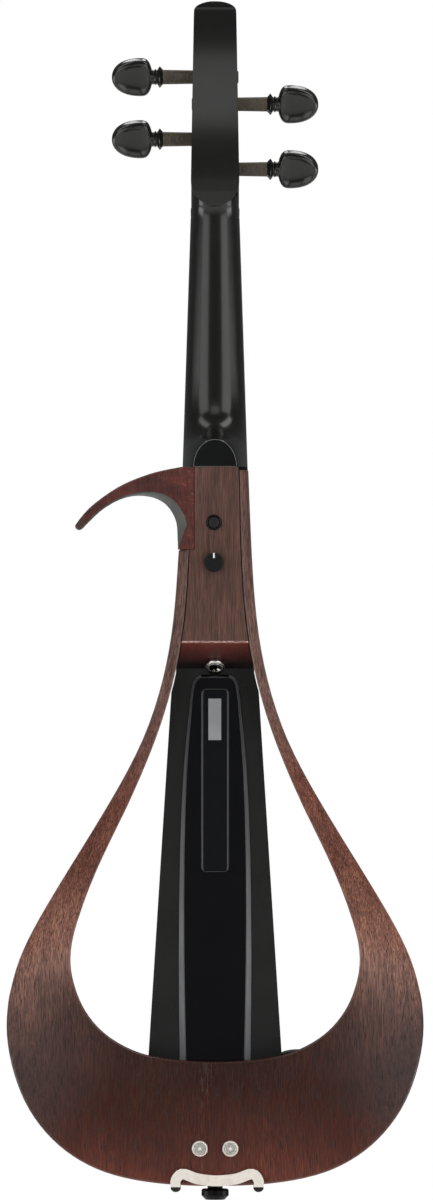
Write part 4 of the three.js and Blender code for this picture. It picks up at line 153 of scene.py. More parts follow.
class Finish:
    """A material with its shader, and the patterns that vary it over the piece."""

    def __init__(self, name, colour, **shine):
        self.material = bpy.data.materials.new(name)
        self.material.use_nodes = True
        self.nodes = self.material.node_tree.nodes
        self.links = self.material.node_tree.links
        self.shader = self.nodes["Principled BSDF"]
        self.shader.inputs["Base Color"].default_value = colour
        self.place = self.nodes.new("ShaderNodeTexCoord").outputs["Object"]
        for socket, value in shine.items():
            self.shader.inputs[socket.replace("_", " ")].default_value = value

    def put(self, socket, value):
        if isinstance(value, bpy.types.NodeSocket):
            self.links.new(value, socket)
        else:
            socket.default_value = value

    def node(self, kind, inputs=(), **settings):
        made = self.nodes.new(kind)
        for key, value in settings.items():
            setattr(made, key, value)
        for key, value in dict(inputs).items():
            self.put(made.inputs[key], value)
        return made

    def stretched(self, scale, turn=(0.0, 0.0, 0.0), shift=(0.0, 0.0, 0.0)):
        return self.node("ShaderNodeMapping", {
            "Vector": self.place, "Scale": scale, "Rotation": turn, "Location": shift,
        }).outputs["Vector"]

    def noise(self, place, scale, detail=4.0, roughness=0.5):
        return self.node("ShaderNodeTexNoise", {
            "Vector": place, "Scale": scale, "Detail": detail, "Roughness": roughness,
        }).outputs["Fac"]

    def cells(self, scale):
        cell = self.node("ShaderNodeTexVoronoi", {"Vector": self.place, "Scale": scale})
        return cell.outputs["Distance"]

    def sum(self, operation, *values):
        made = self.node("ShaderNodeMath", operation=operation)
        for socket, value in zip(made.inputs, values):
            self.put(socket, value)
        return made.outputs["Value"]

    def spread(self, value, low, high, to_low=0.0, to_high=1.0, smooth=False):
        """A value between low and high, spread over the span from to_low to to_high."""
        return self.node("ShaderNodeMapRange", {
            "Value": value, "From Min": low, "From Max": high, "To Min": to_low, "To Max": to_high,
        }, interpolation_type="SMOOTHSTEP" if smooth else "LINEAR").outputs["Result"]

    def ramp(self, value, *stops):
        made = self.node("ShaderNodeValToRGB", {"Fac": value})
        elements = made.color_ramp.elements
        while len(elements) < len(stops):
            elements.new(0.5)
        for element, (where, colour) in zip(elements, stops):
            element.position = where
            element.color = colour
        return made.outputs["Color"]

    def blended(self, share, first, second, blend_type="MIX"):
        made = self.node("ShaderNodeMix", data_type="RGBA", blend_type=blend_type)
        self.put(made.inputs["Factor"], share)
        self.put(made.inputs[6], first)
        self.put(made.inputs[7], second)
        return made.outputs[2]

    def across(self, axis):
        return self.node("ShaderNodeSeparateXYZ", {"Vector": self.place}).outputs[axis]

    def relief(self, height, strength, distance):
        bump = self.node("ShaderNodeBump", {"Height": height, "Strength": strength, "Distance": distance})
        return bump.outputs["Normal"]

    def shade(self, **sockets):
        for socket, value in sockets.items():
            self.put(self.shader.inputs[socket.replace("_", " ")], value)
        return self.material


def lacquer(name, colour, roughness, grain=0.0):
    """Paint over wood: soft unevenness in its gloss, a faint dust of specks and fine marks."""
    paint = Finish(name, colour)
    cloud = paint.noise(paint.place, 45.0, 5.0, 0.6)
    fine = paint.noise(paint.place, 2600.0, 3.0, 0.6)
    marks = paint.noise(paint.stretched((1.0, 1.0, 0.08), (0.3, 0.2, 0.1)), 1300.0, 2.0)
    gloss = paint.sum("ADD", paint.spread(cloud, 0.3, 0.7, roughness * 0.88, roughness * 1.12),
                      paint.spread(marks, 0.62, 0.75, 0.0, 0.04))
    shade = paint.blended(paint.spread(cloud, 0.35, 0.7), colour, darker(colour, 0.82))
    bumps = paint.sum("ADD", fine, paint.sum("MULTIPLY", cloud, 6.0))
    return paint.shade(Base_Color=shade, Roughness=gloss, Normal=paint.relief(bumps, 0.05 + grain, 0.00004))


def wood(name, dark, middle, light, pores, roughness=0.45, lean=0.0, shift=0.0, streaks=1.0,
         tints=None, sheen=0.25, length=0.06, fineness=1100.0, patches=0.25,
         pore_scale=3300.0, pore_length=0.028, pore_depth=0.62):
    """Straight-grained wood: broad and fine streaks along the height, open pores, and slow
    changes of colour. tints adds colour by place."""
    plank = Finish(name, middle, Specular_IOR_Level=sheen)
    turn = (0.0, lean, 0.0)

    warp = plank.noise(plank.stretched((1.0, 1.0, 0.5), turn), 22.0, 3.0)
    drift = plank.node("ShaderNodeCombineXYZ", {"X": plank.sum("MULTIPLY", warp, 0.006)}).outputs["Vector"]
    straight = plank.stretched((1.0, 1.0, length), turn, (shift, shift * 0.7, shift * 0.3))
    bent = plank.node("ShaderNodeVectorMath", {0: straight, 1: drift}, operation="ADD").outputs["Vector"]
    broad = plank.noise(bent, 170.0, 4.0, 0.55)
    fine = plank.noise(bent, fineness, 3.0, 0.6)
    hair = plank.noise(bent, fineness * 2.4, 2.0, 0.6)
    narrow = plank.sum("ADD", plank.sum("MULTIPLY", fine, 0.48), plank.sum("MULTIPLY", hair, 0.3))
    figure = plank.sum("ADD", plank.sum("MULTIPLY", broad, 0.22), narrow)
    spread = 0.16 / streaks
    colour = plank.ramp(figure, (0.5 - spread, dark), (0.5, middle), (0.5 + spread, light))

    pits = plank.stretched((1.0, 1.0, pore_length), turn, (shift, 0.3, 0.2))
    pore = plank.spread(plank.noise(pits, pore_scale, 1.0), 0.57, 0.66, smooth=True)
    slow = plank.noise(plank.stretched((1.0, 1.0, 0.35), turn, (0.1, shift, 0.4)), 26.0, 3.0)
    colour = plank.blended(plank.spread(slow, 0.35, 0.68, 0.0, patches), colour, darker(middle, 0.62))
    if tints:
        colour = tints(plank, colour)
    colour = plank.blended(plank.sum("MULTIPLY", pore, pore_depth), colour, pores)

    gloss = plank.sum("ADD", plank.spread(figure, 0.3, 0.7, roughness * 1.12, roughness * 0.88),
                      plank.sum("MULTIPLY", pore, 0.2))
    bumps = plank.sum("SUBTRACT", plank.sum("MULTIPLY", fine, 0.35), pore)
    return plank.shade(Base_Color=colour, Roughness=gloss, Normal=plank.relief(bumps, 0.28, 0.00012))


def metal(name, colour, roughness, marks=0.05):
    """Metal with a cloudy polish and fine hairlines."""
    bright = Finish(name, colour, Metallic=1.0)
    cloud = bright.noise(bright.place, 160.0, 4.0, 0.6)
    hair = bright.noise(bright.stretched((1.0, 12.0, 1.0)), 1500.0, 3.0, 0.7)
    gloss = bright.sum("ADD", bright.spread(cloud, 0.3, 0.7, roughness * 0.8, roughness * 1.25),
                       bright.spread(hair, 0.55, 0.8, 0.0, marks))
    shade = bright.blended(bright.spread(cloud, 0.45, 0.75), colour, darker(colour, 0.86))
    return bright.shade(Base_Color=shade, Roughness=gloss, Normal=bright.relief(hair, 0.03, 0.00003))


def plastic(name, colour, roughness, grain=0.12, sheen=0.5):
    """Moulded plastic with a fine grain."""
    moulded = Finish(name, colour, Specular_IOR_Level=sheen)
    fine = moulded.noise(moulded.place, 3200.0, 3.0, 0.6)
    cloud = moulded.noise(moulded.place, 90.0, 4.0)
    shade = moulded.blended(moulded.spread(cloud, 0.35, 0.7), colour, darker(colour, 0.8))
    gloss = moulded.spread(cloud, 0.3, 0.7, roughness * 0.9, roughness * 1.1)
    return moulded.shade(Base_Color=shade, Roughness=gloss, Normal=moulded.relief(fine, grain, 0.00005))


def cork(name):
    bark = Finish(name, tone(170, 132, 92))
    grains = bark.cells(1300.0)
    specks = bark.noise(bark.place, 900.0, 4.0, 0.7)
    colour = bark.ramp(grains, (0.1, tone(126, 88, 54)), (0.45, tone(176, 138, 96)),
                       (0.8, tone(198, 162, 118)))
    colour = bark.blended(bark.spread(specks, 0.58, 0.68), colour, tone(88, 58, 34))
    return bark.shade(Base_Color=colour, Roughness=0.85, Normal=bark.relief(grains, 0.5, 0.0002))


def by_height(plank, colour, *stops, waver):
    """Multiplies a wood's colour by tints given for heights in millimetres. waver is how far,
    in metres, their borders wander."""
    low, high = stops[0][0] * MM, stops[-1][0] * MM
    cloud = plank.noise(plank.stretched((1.0, 1.0, 0.6)), 12.0, 4.0)
    wave = plank.sum("ADD", plank.across("Z"), plank.spread(cloud, 0.3, 0.7, -waver, waver))
    share = plank.spread(wave, low, high)
    tints = (((z * MM - low) / (high - low), tuple(tint) + (1.0,)) for z, tint in stops)
    return plank.blended(1.0, colour, plank.ramp(share, *tints), "MULTIPLY")


# Tints by height in millimetres, much of them painted light and shade: the lighter, greyer rows paint the
# sheen on the ribbons and on the lobes where they turn sideways.
FRAME_SHEEN_AND_SHADE = (
    (-473, (1.3, 0.74, 0.64)), (-455, (0.74, 0.41, 0.34)), (-439, (0.5, 0.26, 0.21)),
    (-424, (0.41, 0.22, 0.18)), (-409, (0.58, 0.37, 0.32)), (-394, (0.95, 0.7, 0.63)),
    (-379, (1.5, 1.28, 1.16)), (-365, (2.05, 1.9, 1.75)), (-350, (2.4, 2.2, 2.05)),
    (-335, (1.9, 1.6, 1.45)), (-322, (1.45, 1.1, 0.98)), (-285, (1.5, 1.1, 0.98)),
    (-235, (1.6, 1.85, 1.95)), (-140, (1.1, 1.12, 1.16)),
)
# In its lower half the frame gets painted shade along the round of its inner edge and out to its sides.
BOWL_HALF_WIDTH, BOWL_HALF_HEIGHT, BOWL_MIDDLE = 0.0722, 0.051, -0.3646  # the round of its inner edge
BOWL_TOP, BOWL_FADE = -0.36, -0.392  # above the first it isn't shaded, below the second fully
SHADED_X = -0.008  # the sides darken away from here


def frame_sheen_and_shade(plank, colour):
    """The frame: colour by height, much of it painted light and shade: like the block at the top, a painted
    sheen on the ribbons and where the lobes turn sideways, redder where it widens, dark red at the bottom,
    and in its lower half painted shade along the inner edge and out to the sides."""
    calm = plank.spread(plank.across("Z"), -0.425, -0.385, 0.5, 0.0)
    colour = plank.blended(calm, colour, tone(80, 54, 46))
    height_sheen_and_shade = by_height(plank, colour, *FRAME_SHEEN_AND_SHADE, waver=0.012)
    flat = plank.sum("DIVIDE", plank.across("X"), BOWL_HALF_WIDTH)
    down = plank.sum("DIVIDE", plank.sum("SUBTRACT", plank.across("Z"), BOWL_MIDDLE), BOWL_HALF_HEIGHT)
    squares = plank.sum("ADD", plank.sum("MULTIPLY", flat, flat), plank.sum("MULTIPLY", down, down))
    shade = plank.spread(plank.sum("SQRT", squares), 1.05, 1.42, 0.6, 1.06)
    away = plank.sum("ABSOLUTE", plank.sum("SUBTRACT", plank.across("X"), SHADED_X))
    shade = plank.sum("MULTIPLY", shade, plank.spread(away, 0.055, 0.1, 1.0, 0.72))
    above = plank.spread(plank.across("Z"), BOWL_FADE, BOWL_TOP)
    lifted = plank.sum("MULTIPLY", above, plank.sum("SUBTRACT", 1.0, shade))
    return plank.blended(1.0, height_sheen_and_shade, plank.sum("ADD", shade, lifted), "MULTIPLY")


# Tints by height in millimetres that paint the shade of the slope, from deep red to black.
BLOCK_SLOPE_SHADING = (
    (-221, (0.02, 0.02, 0.03)), (-217, (0.05, 0.04, 0.05)), (-213.5, (0.6, 0.24, 0.22)),
    (-209, (1.1, 0.46, 0.42)), (-206.3, (1.4, 0.66, 0.56)), (-206.0, (1.0, 1.0, 1.0)),
    (-119, (1.0, 1.0, 1.0)),
)
ARRIS_Z = -0.2062


def block_highlight_and_shade(plank, colour):
    """The block: a painted highlight along its arris, broken up in patches, then painted shade down the slope
    from deep red to black.
    """
    # This noise breaks up the arris's painted highlight in patches.
    patchy = plank.noise(plank.stretched((1.0, 1.0, 0.3)), 900.0, 3.0, 0.7)
    slope = by_height(plank, colour, *BLOCK_SLOPE_SHADING, waver=0.0006)
    off_arris = plank.sum("ABSOLUTE", plank.sum("SUBTRACT", plank.across("Z"), ARRIS_Z))
    arris = plank.sum("MULTIPLY", plank.spread(off_arris, 0.0003, 0.0006, 1.0, 0.0),
                      plank.spread(patchy, 0.42, 0.55, 0.15, 1.0))
    return plank.blended(arris, slope, tone(214, 176, 166))


def horn_tints(plank, colour):
    """The horn: mottled deep red, bright spots near its seam with the block, a dark tip."""
    clouds = plank.noise(plank.stretched((0.5, 1.0, 1.0), (0.0, 0.5, 0.0)), 150.0, 4.0, 0.6)
    colour = plank.blended(plank.spread(clouds, 0.42, 0.66, 0.0, 0.55), colour, tone(104, 54, 46))
    colour = plank.blended(plank.spread(clouds, 0.32, 0.46, 0.5, 0.0), colour, tone(52, 33, 32))
    patchy = plank.noise(plank.place, 420.0, 5.0, 0.7)
    near_seam = plank.spread(plank.across("X"), -0.03, -0.012, 0.0, 1.0)
    spots = plank.sum("MULTIPLY", plank.spread(patchy, 0.57, 0.66), near_seam)
    colour = plank.blended(spots, colour, tone(142, 76, 60))
    ragged = plank.sum("ADD", plank.across("X"), plank.spread(clouds, 0.3, 0.7, -0.0015, 0.0015))
    tip = plank.spread(ragged, -0.0672, -0.0658, 1.0, 0.0)
    return plank.blended(tip, colour, tone(62, 54, 50))


FINISHES = {
    "black_lacquer": lacquer("black lacquer", tone(19, 19, 17), 0.22, -0.03),
    "heel_gloss": lacquer("heel gloss", tone(18, 19, 18), 0.1),
    # The heel cap's rim is painted light grey as a highlight.
    "heel_rim_highlight": lacquer("heel rim highlight", tone(118, 120, 117), 0.2),
    "peg_head": lacquer("peg black", tone(21, 21, 18), 0.2, -0.045),
    # The horn's sides are dark paint, given a lighter grey that paints their sheen.
    "horn_edge_sheen": lacquer("horn edge sheen", tone(66, 67, 61), 0.45),
    "body_black": lacquer("body black", tone(26, 26, 25), 0.3),
    "top_wood": lacquer("top black", tone(24, 24, 25), 0.14),
    "gloss_black": lacquer("gloss black", tone(12, 12, 15), 0.05),
    # On the cover, lighter greys paint a highlight on its rims and a reflection on its long bevels.
    "cover_rim_highlight": lacquer("cover rim highlight", tone(60, 62, 62), 0.2),
    "cover_bevel_reflection": lacquer("cover bevel reflection", tone(106, 107, 110), 0.34, -0.04),
    "grey_label": lacquer("label plastic", tone(17, 18, 21), 0.12),
    "ebony": wood("ebony", tone(22, 21, 20), tone(34, 32, 30), tone(44, 42, 38), tone(14, 13, 12), 0.36),
    "walnut": wood("walnut", tone(60, 41, 34), tone(88, 61, 53), tone(114, 83, 71), tone(36, 24, 20), 0.42,
                   tints=block_highlight_and_shade),
    "frame_walnut": wood("frame walnut", tone(52, 32, 27), tone(86, 59, 51), tone(120, 88, 75),
                         tone(30, 17, 15), 0.32, tints=frame_sheen_and_shade, shift=0.21, streaks=1.5, sheen=0.3,
                         length=0.075, fineness=1300.0, patches=0.3,
                         pore_scale=2300.0, pore_length=0.05, pore_depth=0.85),
    # The frame's narrow faces: a brighter gloss, and a lighter colour that paints a highlight.
    "frame_rim_gloss_and_highlight": wood("frame rim gloss and highlight", tone(62, 39, 33), tone(94, 64, 56), tone(126, 92, 80),
                      tone(36, 22, 19), 0.22, tints=frame_sheen_and_shade, shift=0.21, sheen=0.5, length=0.11),
    "mahogany": wood("mahogany", tone(53, 26, 24), tone(77, 42, 39), tone(99, 56, 50), tone(36, 18, 16), 0.34,
                     tints=horn_tints, lean=0.6, shift=0.4),
    "maple": wood("maple", tone(176, 138, 92), tone(206, 172, 124), tone(222, 192, 148),
                  tone(140, 100, 60), 0.5),
    "peg_shaft": wood("worn peg wood", tone(57, 52, 45), tone(77, 71, 61), tone(96, 90, 78),
                      tone(38, 34, 30), 0.5, sheen=0.15),
    "cork": cork("cork"),
    "nickel": metal("nickel", tone(226, 218, 208), 0.24),
    "chrome": metal("chrome", tone(222, 220, 214), 0.08, marks=0.02),
    "steel": metal("steel", tone(196, 194, 190), 0.28),
    "pickup": metal("pickup brass", tone(186, 150, 84), 0.35),
    "clamp_nickel": metal("clamp nickel", tone(246, 240, 231), 0.6),
    # Darker metals paint shade on the clamp foot's rounded edges and its tips.
    "clamp_edge_shade": metal("clamp edge shade", tone(128, 124, 118), 0.3),
    "clamp_tip_shade": metal("clamp tip shade", tone(84, 86, 86), 0.25),
    "bolt_ring": metal("bolt ring", tone(206, 205, 198), 0.5),
    "cup_nickel": metal("cup nickel", tone(254, 248, 240), 0.6),
    "black_plastic": plastic("black plastic", tone(18, 19, 20), 0.6, sheen=0.15),
    "button_plastic": plastic("button plastic", tone(26, 27, 27), 0.5, sheen=0.2),
    "bezel_plastic": plastic("bezel plastic", tone(16, 16, 16), 0.35),
    "end_gloss": plastic("button gloss", tone(14, 14, 14), 0.25, 0.03, sheen=0.12),
    "pointer_white": plastic("pointer white", tone(226, 226, 222), 0.5),
    "label_line": plastic("label line", tone(84, 86, 89), 0.5),
    "sticker_grey": plastic("sticker grey", tone(150, 151, 154), 0.5, 0.3),
    "wire": plastic("wire sleeve", tone(28, 28, 28), 0.5),
    "gut": plastic("tailgut", tone(36, 35, 34), 0.4),
}


# Making

MERGE_DISTANCE = 0.000002
ALONG_X, ALONG_Y = (1.0, 0.0, 0.0), (0.0, 1.0, 0.0)
dressed = set()  # CAD nodes that have their pieces


def alone(piece):
    bpy.ops.object.select_all(action="DESELECT")
    piece.select_set(True)
    bpy.context.view_layer.objects.active = piece


def edited(piece, mode="FACE"):
    alone(piece)
    bpy.ops.object.mode_set(mode="EDIT")
    bpy.ops.mesh.select_mode(type=mode)


def done():
    bpy.ops.object.mode_set(mode="OBJECT")


def settled(piece):
    """Puts the piece's end at the origin, unturned and unscaled, where it stands."""
    alone(piece)
    bpy.ops.object.transform_apply(location=True, rotation=True, scale=True)


def finish_with(piece, kind, **settings):
    alone(piece)
    made = piece.modifiers.new(kind.lower(), kind)
    for key, value in settings.items():
        setattr(made, key, value)
    bpy.ops.object.modifier_apply(modifier=made.name)


def rounded(piece, width, steps=2, angle=35.0):
    finish_with(piece, "BEVEL", width=width * MM, segments=steps, limit_method="ANGLE",
                angle_limit=math.radians(angle), harden_normals=False)


def rimmed(piece, finish, rim, width, steps, angle):
    """Rounds the edges in a second finish, so that each shows as a thin line."""
    piece.data.materials.append(FINISHES[finish])
    piece.data.materials.append(FINISHES[rim])
    finish_with(piece, "BEVEL", width=width * MM, segments=steps, limit_method="ANGLE",
                angle_limit=math.radians(angle), material=1)


def softened(piece, angle=40.0, even=True):
    """Smooth shading between its sharp edges, with its flat faces kept flat."""
    alone(piece)
    bpy.ops.object.shade_smooth_by_angle(angle=math.radians(angle))
    if even:
        finish_with(piece, "WEIGHTED_NORMAL", keep_sharp=True, mode="FACE_AREA", weight=50)


def placed(piece, node, slot, finish=None):
    """Ties a piece to its body and hides the CAD node that it stands in for. One without a finish gets that
    of its slot.
    """
    if len(piece.data.materials) == 0:
        piece.data.materials.append(FINISHES[finish or slot])
    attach(piece, BODY_OF[node])
    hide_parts(node)
    dressed.add(node)


def taken_over(node, name, flat_angle=1.0):
    """A merged copy of a solid of the frame, with its flat faces whole again."""
    mesh = NODES[node].data.copy()
    piece = bpy.data.objects.new(name, mesh)
    bpy.context.scene.collection.objects.link(piece)
    mesh.materials.clear()
    edited(piece, "VERT")
    bpy.ops.mesh.select_all(action="SELECT")
    bpy.ops.mesh.customdata_custom_splitnormals_clear()
    bpy.ops.mesh.remove_doubles(threshold=MERGE_DISTANCE)
    if flat_angle:
        bpy.ops.mesh.dissolve_limited(angle_limit=math.radians(flat_angle))
    done()
    return piece


def squared(node, name):
    """A merged copy of a solid with its triangles joined to quads, ready for a smooth skin."""
    piece = taken_over(node, name, 0.0)
    edited(piece)
    bpy.ops.mesh.select_all(action="SELECT")
    bpy.ops.mesh.tris_convert_to_quads(face_threshold=math.radians(35), shape_threshold=math.radians(60))
    done()
    return piece


def pick(piece, kind, test):
    """Selects the vertices, edges or faces that pass the test."""
    shape = bmesh.from_edit_mesh(piece.data)
    for part in (shape.verts, shape.edges, shape.faces):
        for one in part:
            one.select = False
    for one in getattr(shape, kind):
        if test(one):
            one.select_set(True)
    shape.select_flush_mode()
    bmesh.update_edit_mesh(piece.data)


def marked(piece, finish, test):
    """Gives the faces that pass the test a further finish."""
    piece.data.materials.append(FINISHES[finish])
    edited(piece)
    pick(piece, "faces", test)
    piece.active_material_index = len(piece.data.materials) - 1
    bpy.ops.object.material_slot_assign()
    done()


def copied(piece, name, shift, mirrored=False):
    """A copy with its own mesh, moved to its place."""
    twin = piece.copy()
    twin.data = piece.data.copy()
    twin.name = name
    bpy.context.scene.collection.objects.link(twin)
    edited(twin, "VERT")
    bpy.ops.mesh.select_all(action="SELECT")
    if mirrored:
        bpy.ops.transform.resize(value=(-1.0, 1.0, 1.0), center_override=(0.0, 0.0, 0.0))
        bpy.ops.mesh.normals_make_consistent(inside=False)
    bpy.ops.transform.translate(value=shift)
    done()
    return twin


def turned(name, start, axis, profile, sides=64, bored=False):
    """A lathe piece: profile gives rows of distance along the axis and radius, in millimetres."""
    axis = Vector(axis)
    (along, radius), rest = profile[0], profile[1:]
    bpy.ops.object.select_all(action="DESELECT")
    bpy.ops.mesh.primitive_circle_add(
        vertices=sides, radius=radius * MM, fill_type="NOTHING" if bored else "NGON",
        location=start + axis * along * MM,
        rotation=Vector((0.0, 0.0, 1.0)).rotation_difference(axis).to_euler())
    piece = bpy.context.object
    piece.name = name
    settled(piece)
    edited(piece, "EDGE" if bored else "FACE")
    bpy.ops.mesh.select_all(action="SELECT")
    for next_along, next_radius in rest:
        step = {"value": axis * (next_along - along) * MM}
        if bored:
            bpy.ops.mesh.extrude_edges_move(TRANSFORM_OT_translate=step)
        else:
            bpy.ops.mesh.extrude_region_move(TRANSFORM_OT_translate=step)
        bpy.ops.transform.resize(value=(next_radius / radius,) * 3,
                                 center_override=start + axis * next_along * MM)
        along, radius = next_along, next_radius
    bpy.ops.mesh.select_all(action="SELECT")
    bpy.ops.mesh.remove_doubles(threshold=MERGE_DISTANCE)
    bpy.ops.mesh.normals_make_consistent(inside=False)
    done()
    return piece


def block_of(name, low, high):
    """A box between two corners, to be shaped further."""
    bpy.ops.object.select_all(action="DESELECT")
    bpy.ops.mesh.primitive_cube_add(size=1.0, location=(low + high) / 2, scale=high - low)
    piece = bpy.context.object
    piece.name = name
    settled(piece)
    return piece


def seat(node):
    """The axis of a piece that stands along Y, and its back and front ends in millimetres."""
    low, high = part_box(node)
    axis = Vector(((low[0] + high[0]) / 2, 0.0, (low[2] + high[2]) / 2))
    return axis, low[1] / MM, high[1] / MM


def from_face(face, profile):
    return [(face + along, radius) for along, radius in profile]


RIM_SLOPE = 0.2  # the faces of a rim lean less than this along the axis


def knurled(piece, sides, margin, depth):
    """Sinks every second face round the rim of a turned piece."""
    def sunk(face):
        turn = math.degrees(math.atan2(face.normal.z, face.normal.x)) * sides / 360.0
        return abs(face.normal.y) < RIM_SLOPE and int(round(turn - 0.5)) % 2 == 0

    edited(piece)
    pick(piece, "faces", sunk)
    bpy.ops.mesh.inset(thickness=margin * MM, depth=-depth * MM, use_individual=True)
    done()


# Pegs: one is modelled on the middle line, then copied to the four holes

PEG_SIDES = {"e": -1, "a": -1, "d": 1, "g": 1}
PEG_PROFILE = [
    (-11.7, 2.6), (-11.6, 3.0), (25.9, 3.66), (26.1, 3.74), (27.35, 5.2), (27.55, 5.4), (27.75, 5.25),
    (28.5, 4.15), (28.8, 3.6), (29.2, 3.5), (29.4, 3.85), (29.75, 4.05), (30.1, 3.85), (30.3, 3.6),
    (31.0, 3.65), (31.7, 3.85), (32.6, 3.6), (34.0, 2.4),
]
COLLAR_START = 25.95 * MM
HEAD_START, HEAD_LENGTH, HEAD_HALF = 31.3, 20.3, 9.5
HEAD_THICKNESS = 3.6  # of the blank, before its lips
HEAD_QUARTER = 12  # corners in a quarter of its round
HEAD_TILT = -22.0  # rotate turns the other way in a script
WIDEST = 0.29
OFF_WIDEST, SAME_PLACE = 0.0001, 0.00001
DISH_SHARE = 0.46  # where the dish's middle lies along the head
# Each step lifts a face of the head and narrows it: out to the lip, over it, then into the dish
DISH_STEPS = (
    (0.95, 0.97), (0.8, 0.92), (0.35, 0.925), (0.02, 0.965), (-0.4, 0.91), (-0.42, 0.86),
    (-0.32, 0.8), (-0.2, 0.7), (-0.08, 0.5),
)


def head_height(share):
    """Half the peg head's height along its length, as a share of the widest."""
    if share < WIDEST:
        return math.sqrt(max(1.0 - ((WIDEST - share) / WIDEST) ** 3.0, 0.0))
    return math.sqrt(max(1.0 - ((share - WIDEST) / (1.0 - WIDEST)) ** 2.3, 0.0))


def head_place(share):
    return (HEAD_START + share * HEAD_LENGTH) * MM


def peg_shaft():
    shaft = turned("peg.shaft", Vector(), ALONG_X, PEG_PROFILE, 48)
    softened(shaft, 50.0)
    shaft.data.materials.append(FINISHES["peg_shaft"])
    marked(shaft, "peg_head", lambda face: face.calc_center_median().x > COLLAR_START)
    return shaft


def peg_head():
    """A round of wood drawn out to the head's outline, with a thick lip round each dished face."""
    widest = head_place(WIDEST)
    bpy.ops.object.select_all(action="DESELECT")
    bpy.ops.mesh.primitive_circle_add(
        vertices=4 * HEAD_QUARTER, radius=HEAD_HALF * MM, fill_type="NGON",
        location=(widest, HEAD_THICKNESS / 2 * MM, 0.0), rotation=(math.pi / 2, 0.0, 0.0))
    head = bpy.context.object
    head.name = "peg.head"
    settled(head)
    edited(head, "VERT")
    for way, share in ((1, 1.0 - WIDEST), (-1, WIDEST)):
        pick(head, "verts", lambda vert: (vert.co.x - widest) * way > OFF_WIDEST)
        bpy.ops.transform.resize(value=(share * HEAD_LENGTH / HEAD_HALF, 1.0, 1.0),
                                 center_override=(widest, 0.0, 0.0))
        for corner in range(1, HEAD_QUARTER):
            along = math.cos(math.pi * corner / (2 * HEAD_QUARTER))
            x = head_place(WIDEST + way * share * along)
            taller = head_height(WIDEST + way * share * along) / math.sqrt(1.0 - along ** 2)
            pick(head, "verts", lambda vert: abs(vert.co.x - x) < SAME_PLACE)
            bpy.ops.transform.resize(value=(1.0, 1.0, taller), center_override=(x, 0.0, 0.0))
    bpy.ops.mesh.select_mode(type="FACE")
    bpy.ops.mesh.select_all(action="SELECT")
    bpy.ops.mesh.extrude_region_move(TRANSFORM_OT_translate={"value": (0.0, -HEAD_THICKNESS * MM, 0.0)})
    middle = (head_place(DISH_SHARE), 0.0, 0.0)
    for way in (-1, 1):
        pick(head, "faces", lambda face: len(face.verts) > 8 and face.calc_center_median().y * way > 0.0)
        for lift, narrower in DISH_STEPS:
            bpy.ops.mesh.extrude_region_move(TRANSFORM_OT_translate={"value": (0.0, way * lift * MM, 0.0)})
            bpy.ops.transform.resize(value=(narrower, 1.0, narrower), center_override=middle)
    bpy.ops.mesh.select_all(action="SELECT")
    bpy.ops.mesh.normals_make_consistent(inside=False)
    done()
    finish_with(head, "SUBSURF", levels=1, render_levels=1)
    edited(head, "VERT")
    bpy.ops.mesh.select_all(action="SELECT")
    bpy.ops.transform.rotate(value=math.radians(HEAD_TILT), orient_axis="X", center_override=(0.0, 0.0, 0.0))
    done()
    softened(head, 80.0, False)
    head.data.materials.append(FINISHES["peg_head"])
    return head


def pegs():
    for part, model in (("shaft", peg_shaft()), ("head", peg_head())):
        for name in STRINGS:
            node = f"peg_{name}"
            low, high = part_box(node)
            hole = (0.0, (low[1] + high[1]) / 2, (low[2] + high[2]) / 2)
            placed(copied(model, f"{node}.{part}", hole, PEG_SIDES[name] < 0), node, "ebony")
        bpy.data.objects.remove(model)


# Fine tuner screws: one knurled head, copied to the four threaded shafts

TUNER_HEAD_SIDES = 60
TUNER_HEAD_PROFILE = [
    (-0.3, 0.8), (-0.1, 1.5), (0.0, 2.1), (-0.12, 2.45), (-0.55, 2.8), (-0.75, 3.0), (-3.2, 3.0),
    (-3.4, 2.8), (-3.55, 2.3), (-4.2, 2.1), (-4.2, 1.3),
]
TUNER_SHAFT_END = 4.0  # below the head's top
THREAD_END = 4.9
THREAD_TIP_RADIUS, THREAD_CORE_RADIUS, THREAD_CREST_RADIUS = 0.8, 1.1, 1.28
THREAD_TIP, THREAD_STEP = 0.25, 0.2


def tuner_screws():
    head = turned("tuner_screw.head", Vector(), ALONG_Y, TUNER_HEAD_PROFILE, TUNER_HEAD_SIDES)
    knurled(head, TUNER_HEAD_SIDES, 0.04, 0.14)
    softened(head, 35.0)
    head.data.materials.append(FINISHES["nickel"])
    for name in STRINGS:
        node = "tuner_screw_" + name
        axis, foot, top = seat(node)
        placed(copied(head, node + ".head", axis + Vector((0.0, top * MM, 0.0))), node, "nickel")
        profile = [(foot, THREAD_TIP_RADIUS), (foot + THREAD_TIP, THREAD_CORE_RADIUS)]
        while profile[-1][0] < top - THREAD_END:
            along = profile[-1][0]
            profile.append((along + THREAD_STEP, THREAD_CREST_RADIUS))
            profile.append((along + 2 * THREAD_STEP, THREAD_CORE_RADIUS))
        profile.append((top - TUNER_SHAFT_END, THREAD_CORE_RADIUS))
        shaft = turned(node + ".shaft", axis, ALONG_Y, profile, 24)
        softened(shaft, 50.0)
        placed(shaft, node, "nickel", "steel")
    bpy.data.objects.remove(head)


# Controls: their profiles begin at the face, which looks to the back

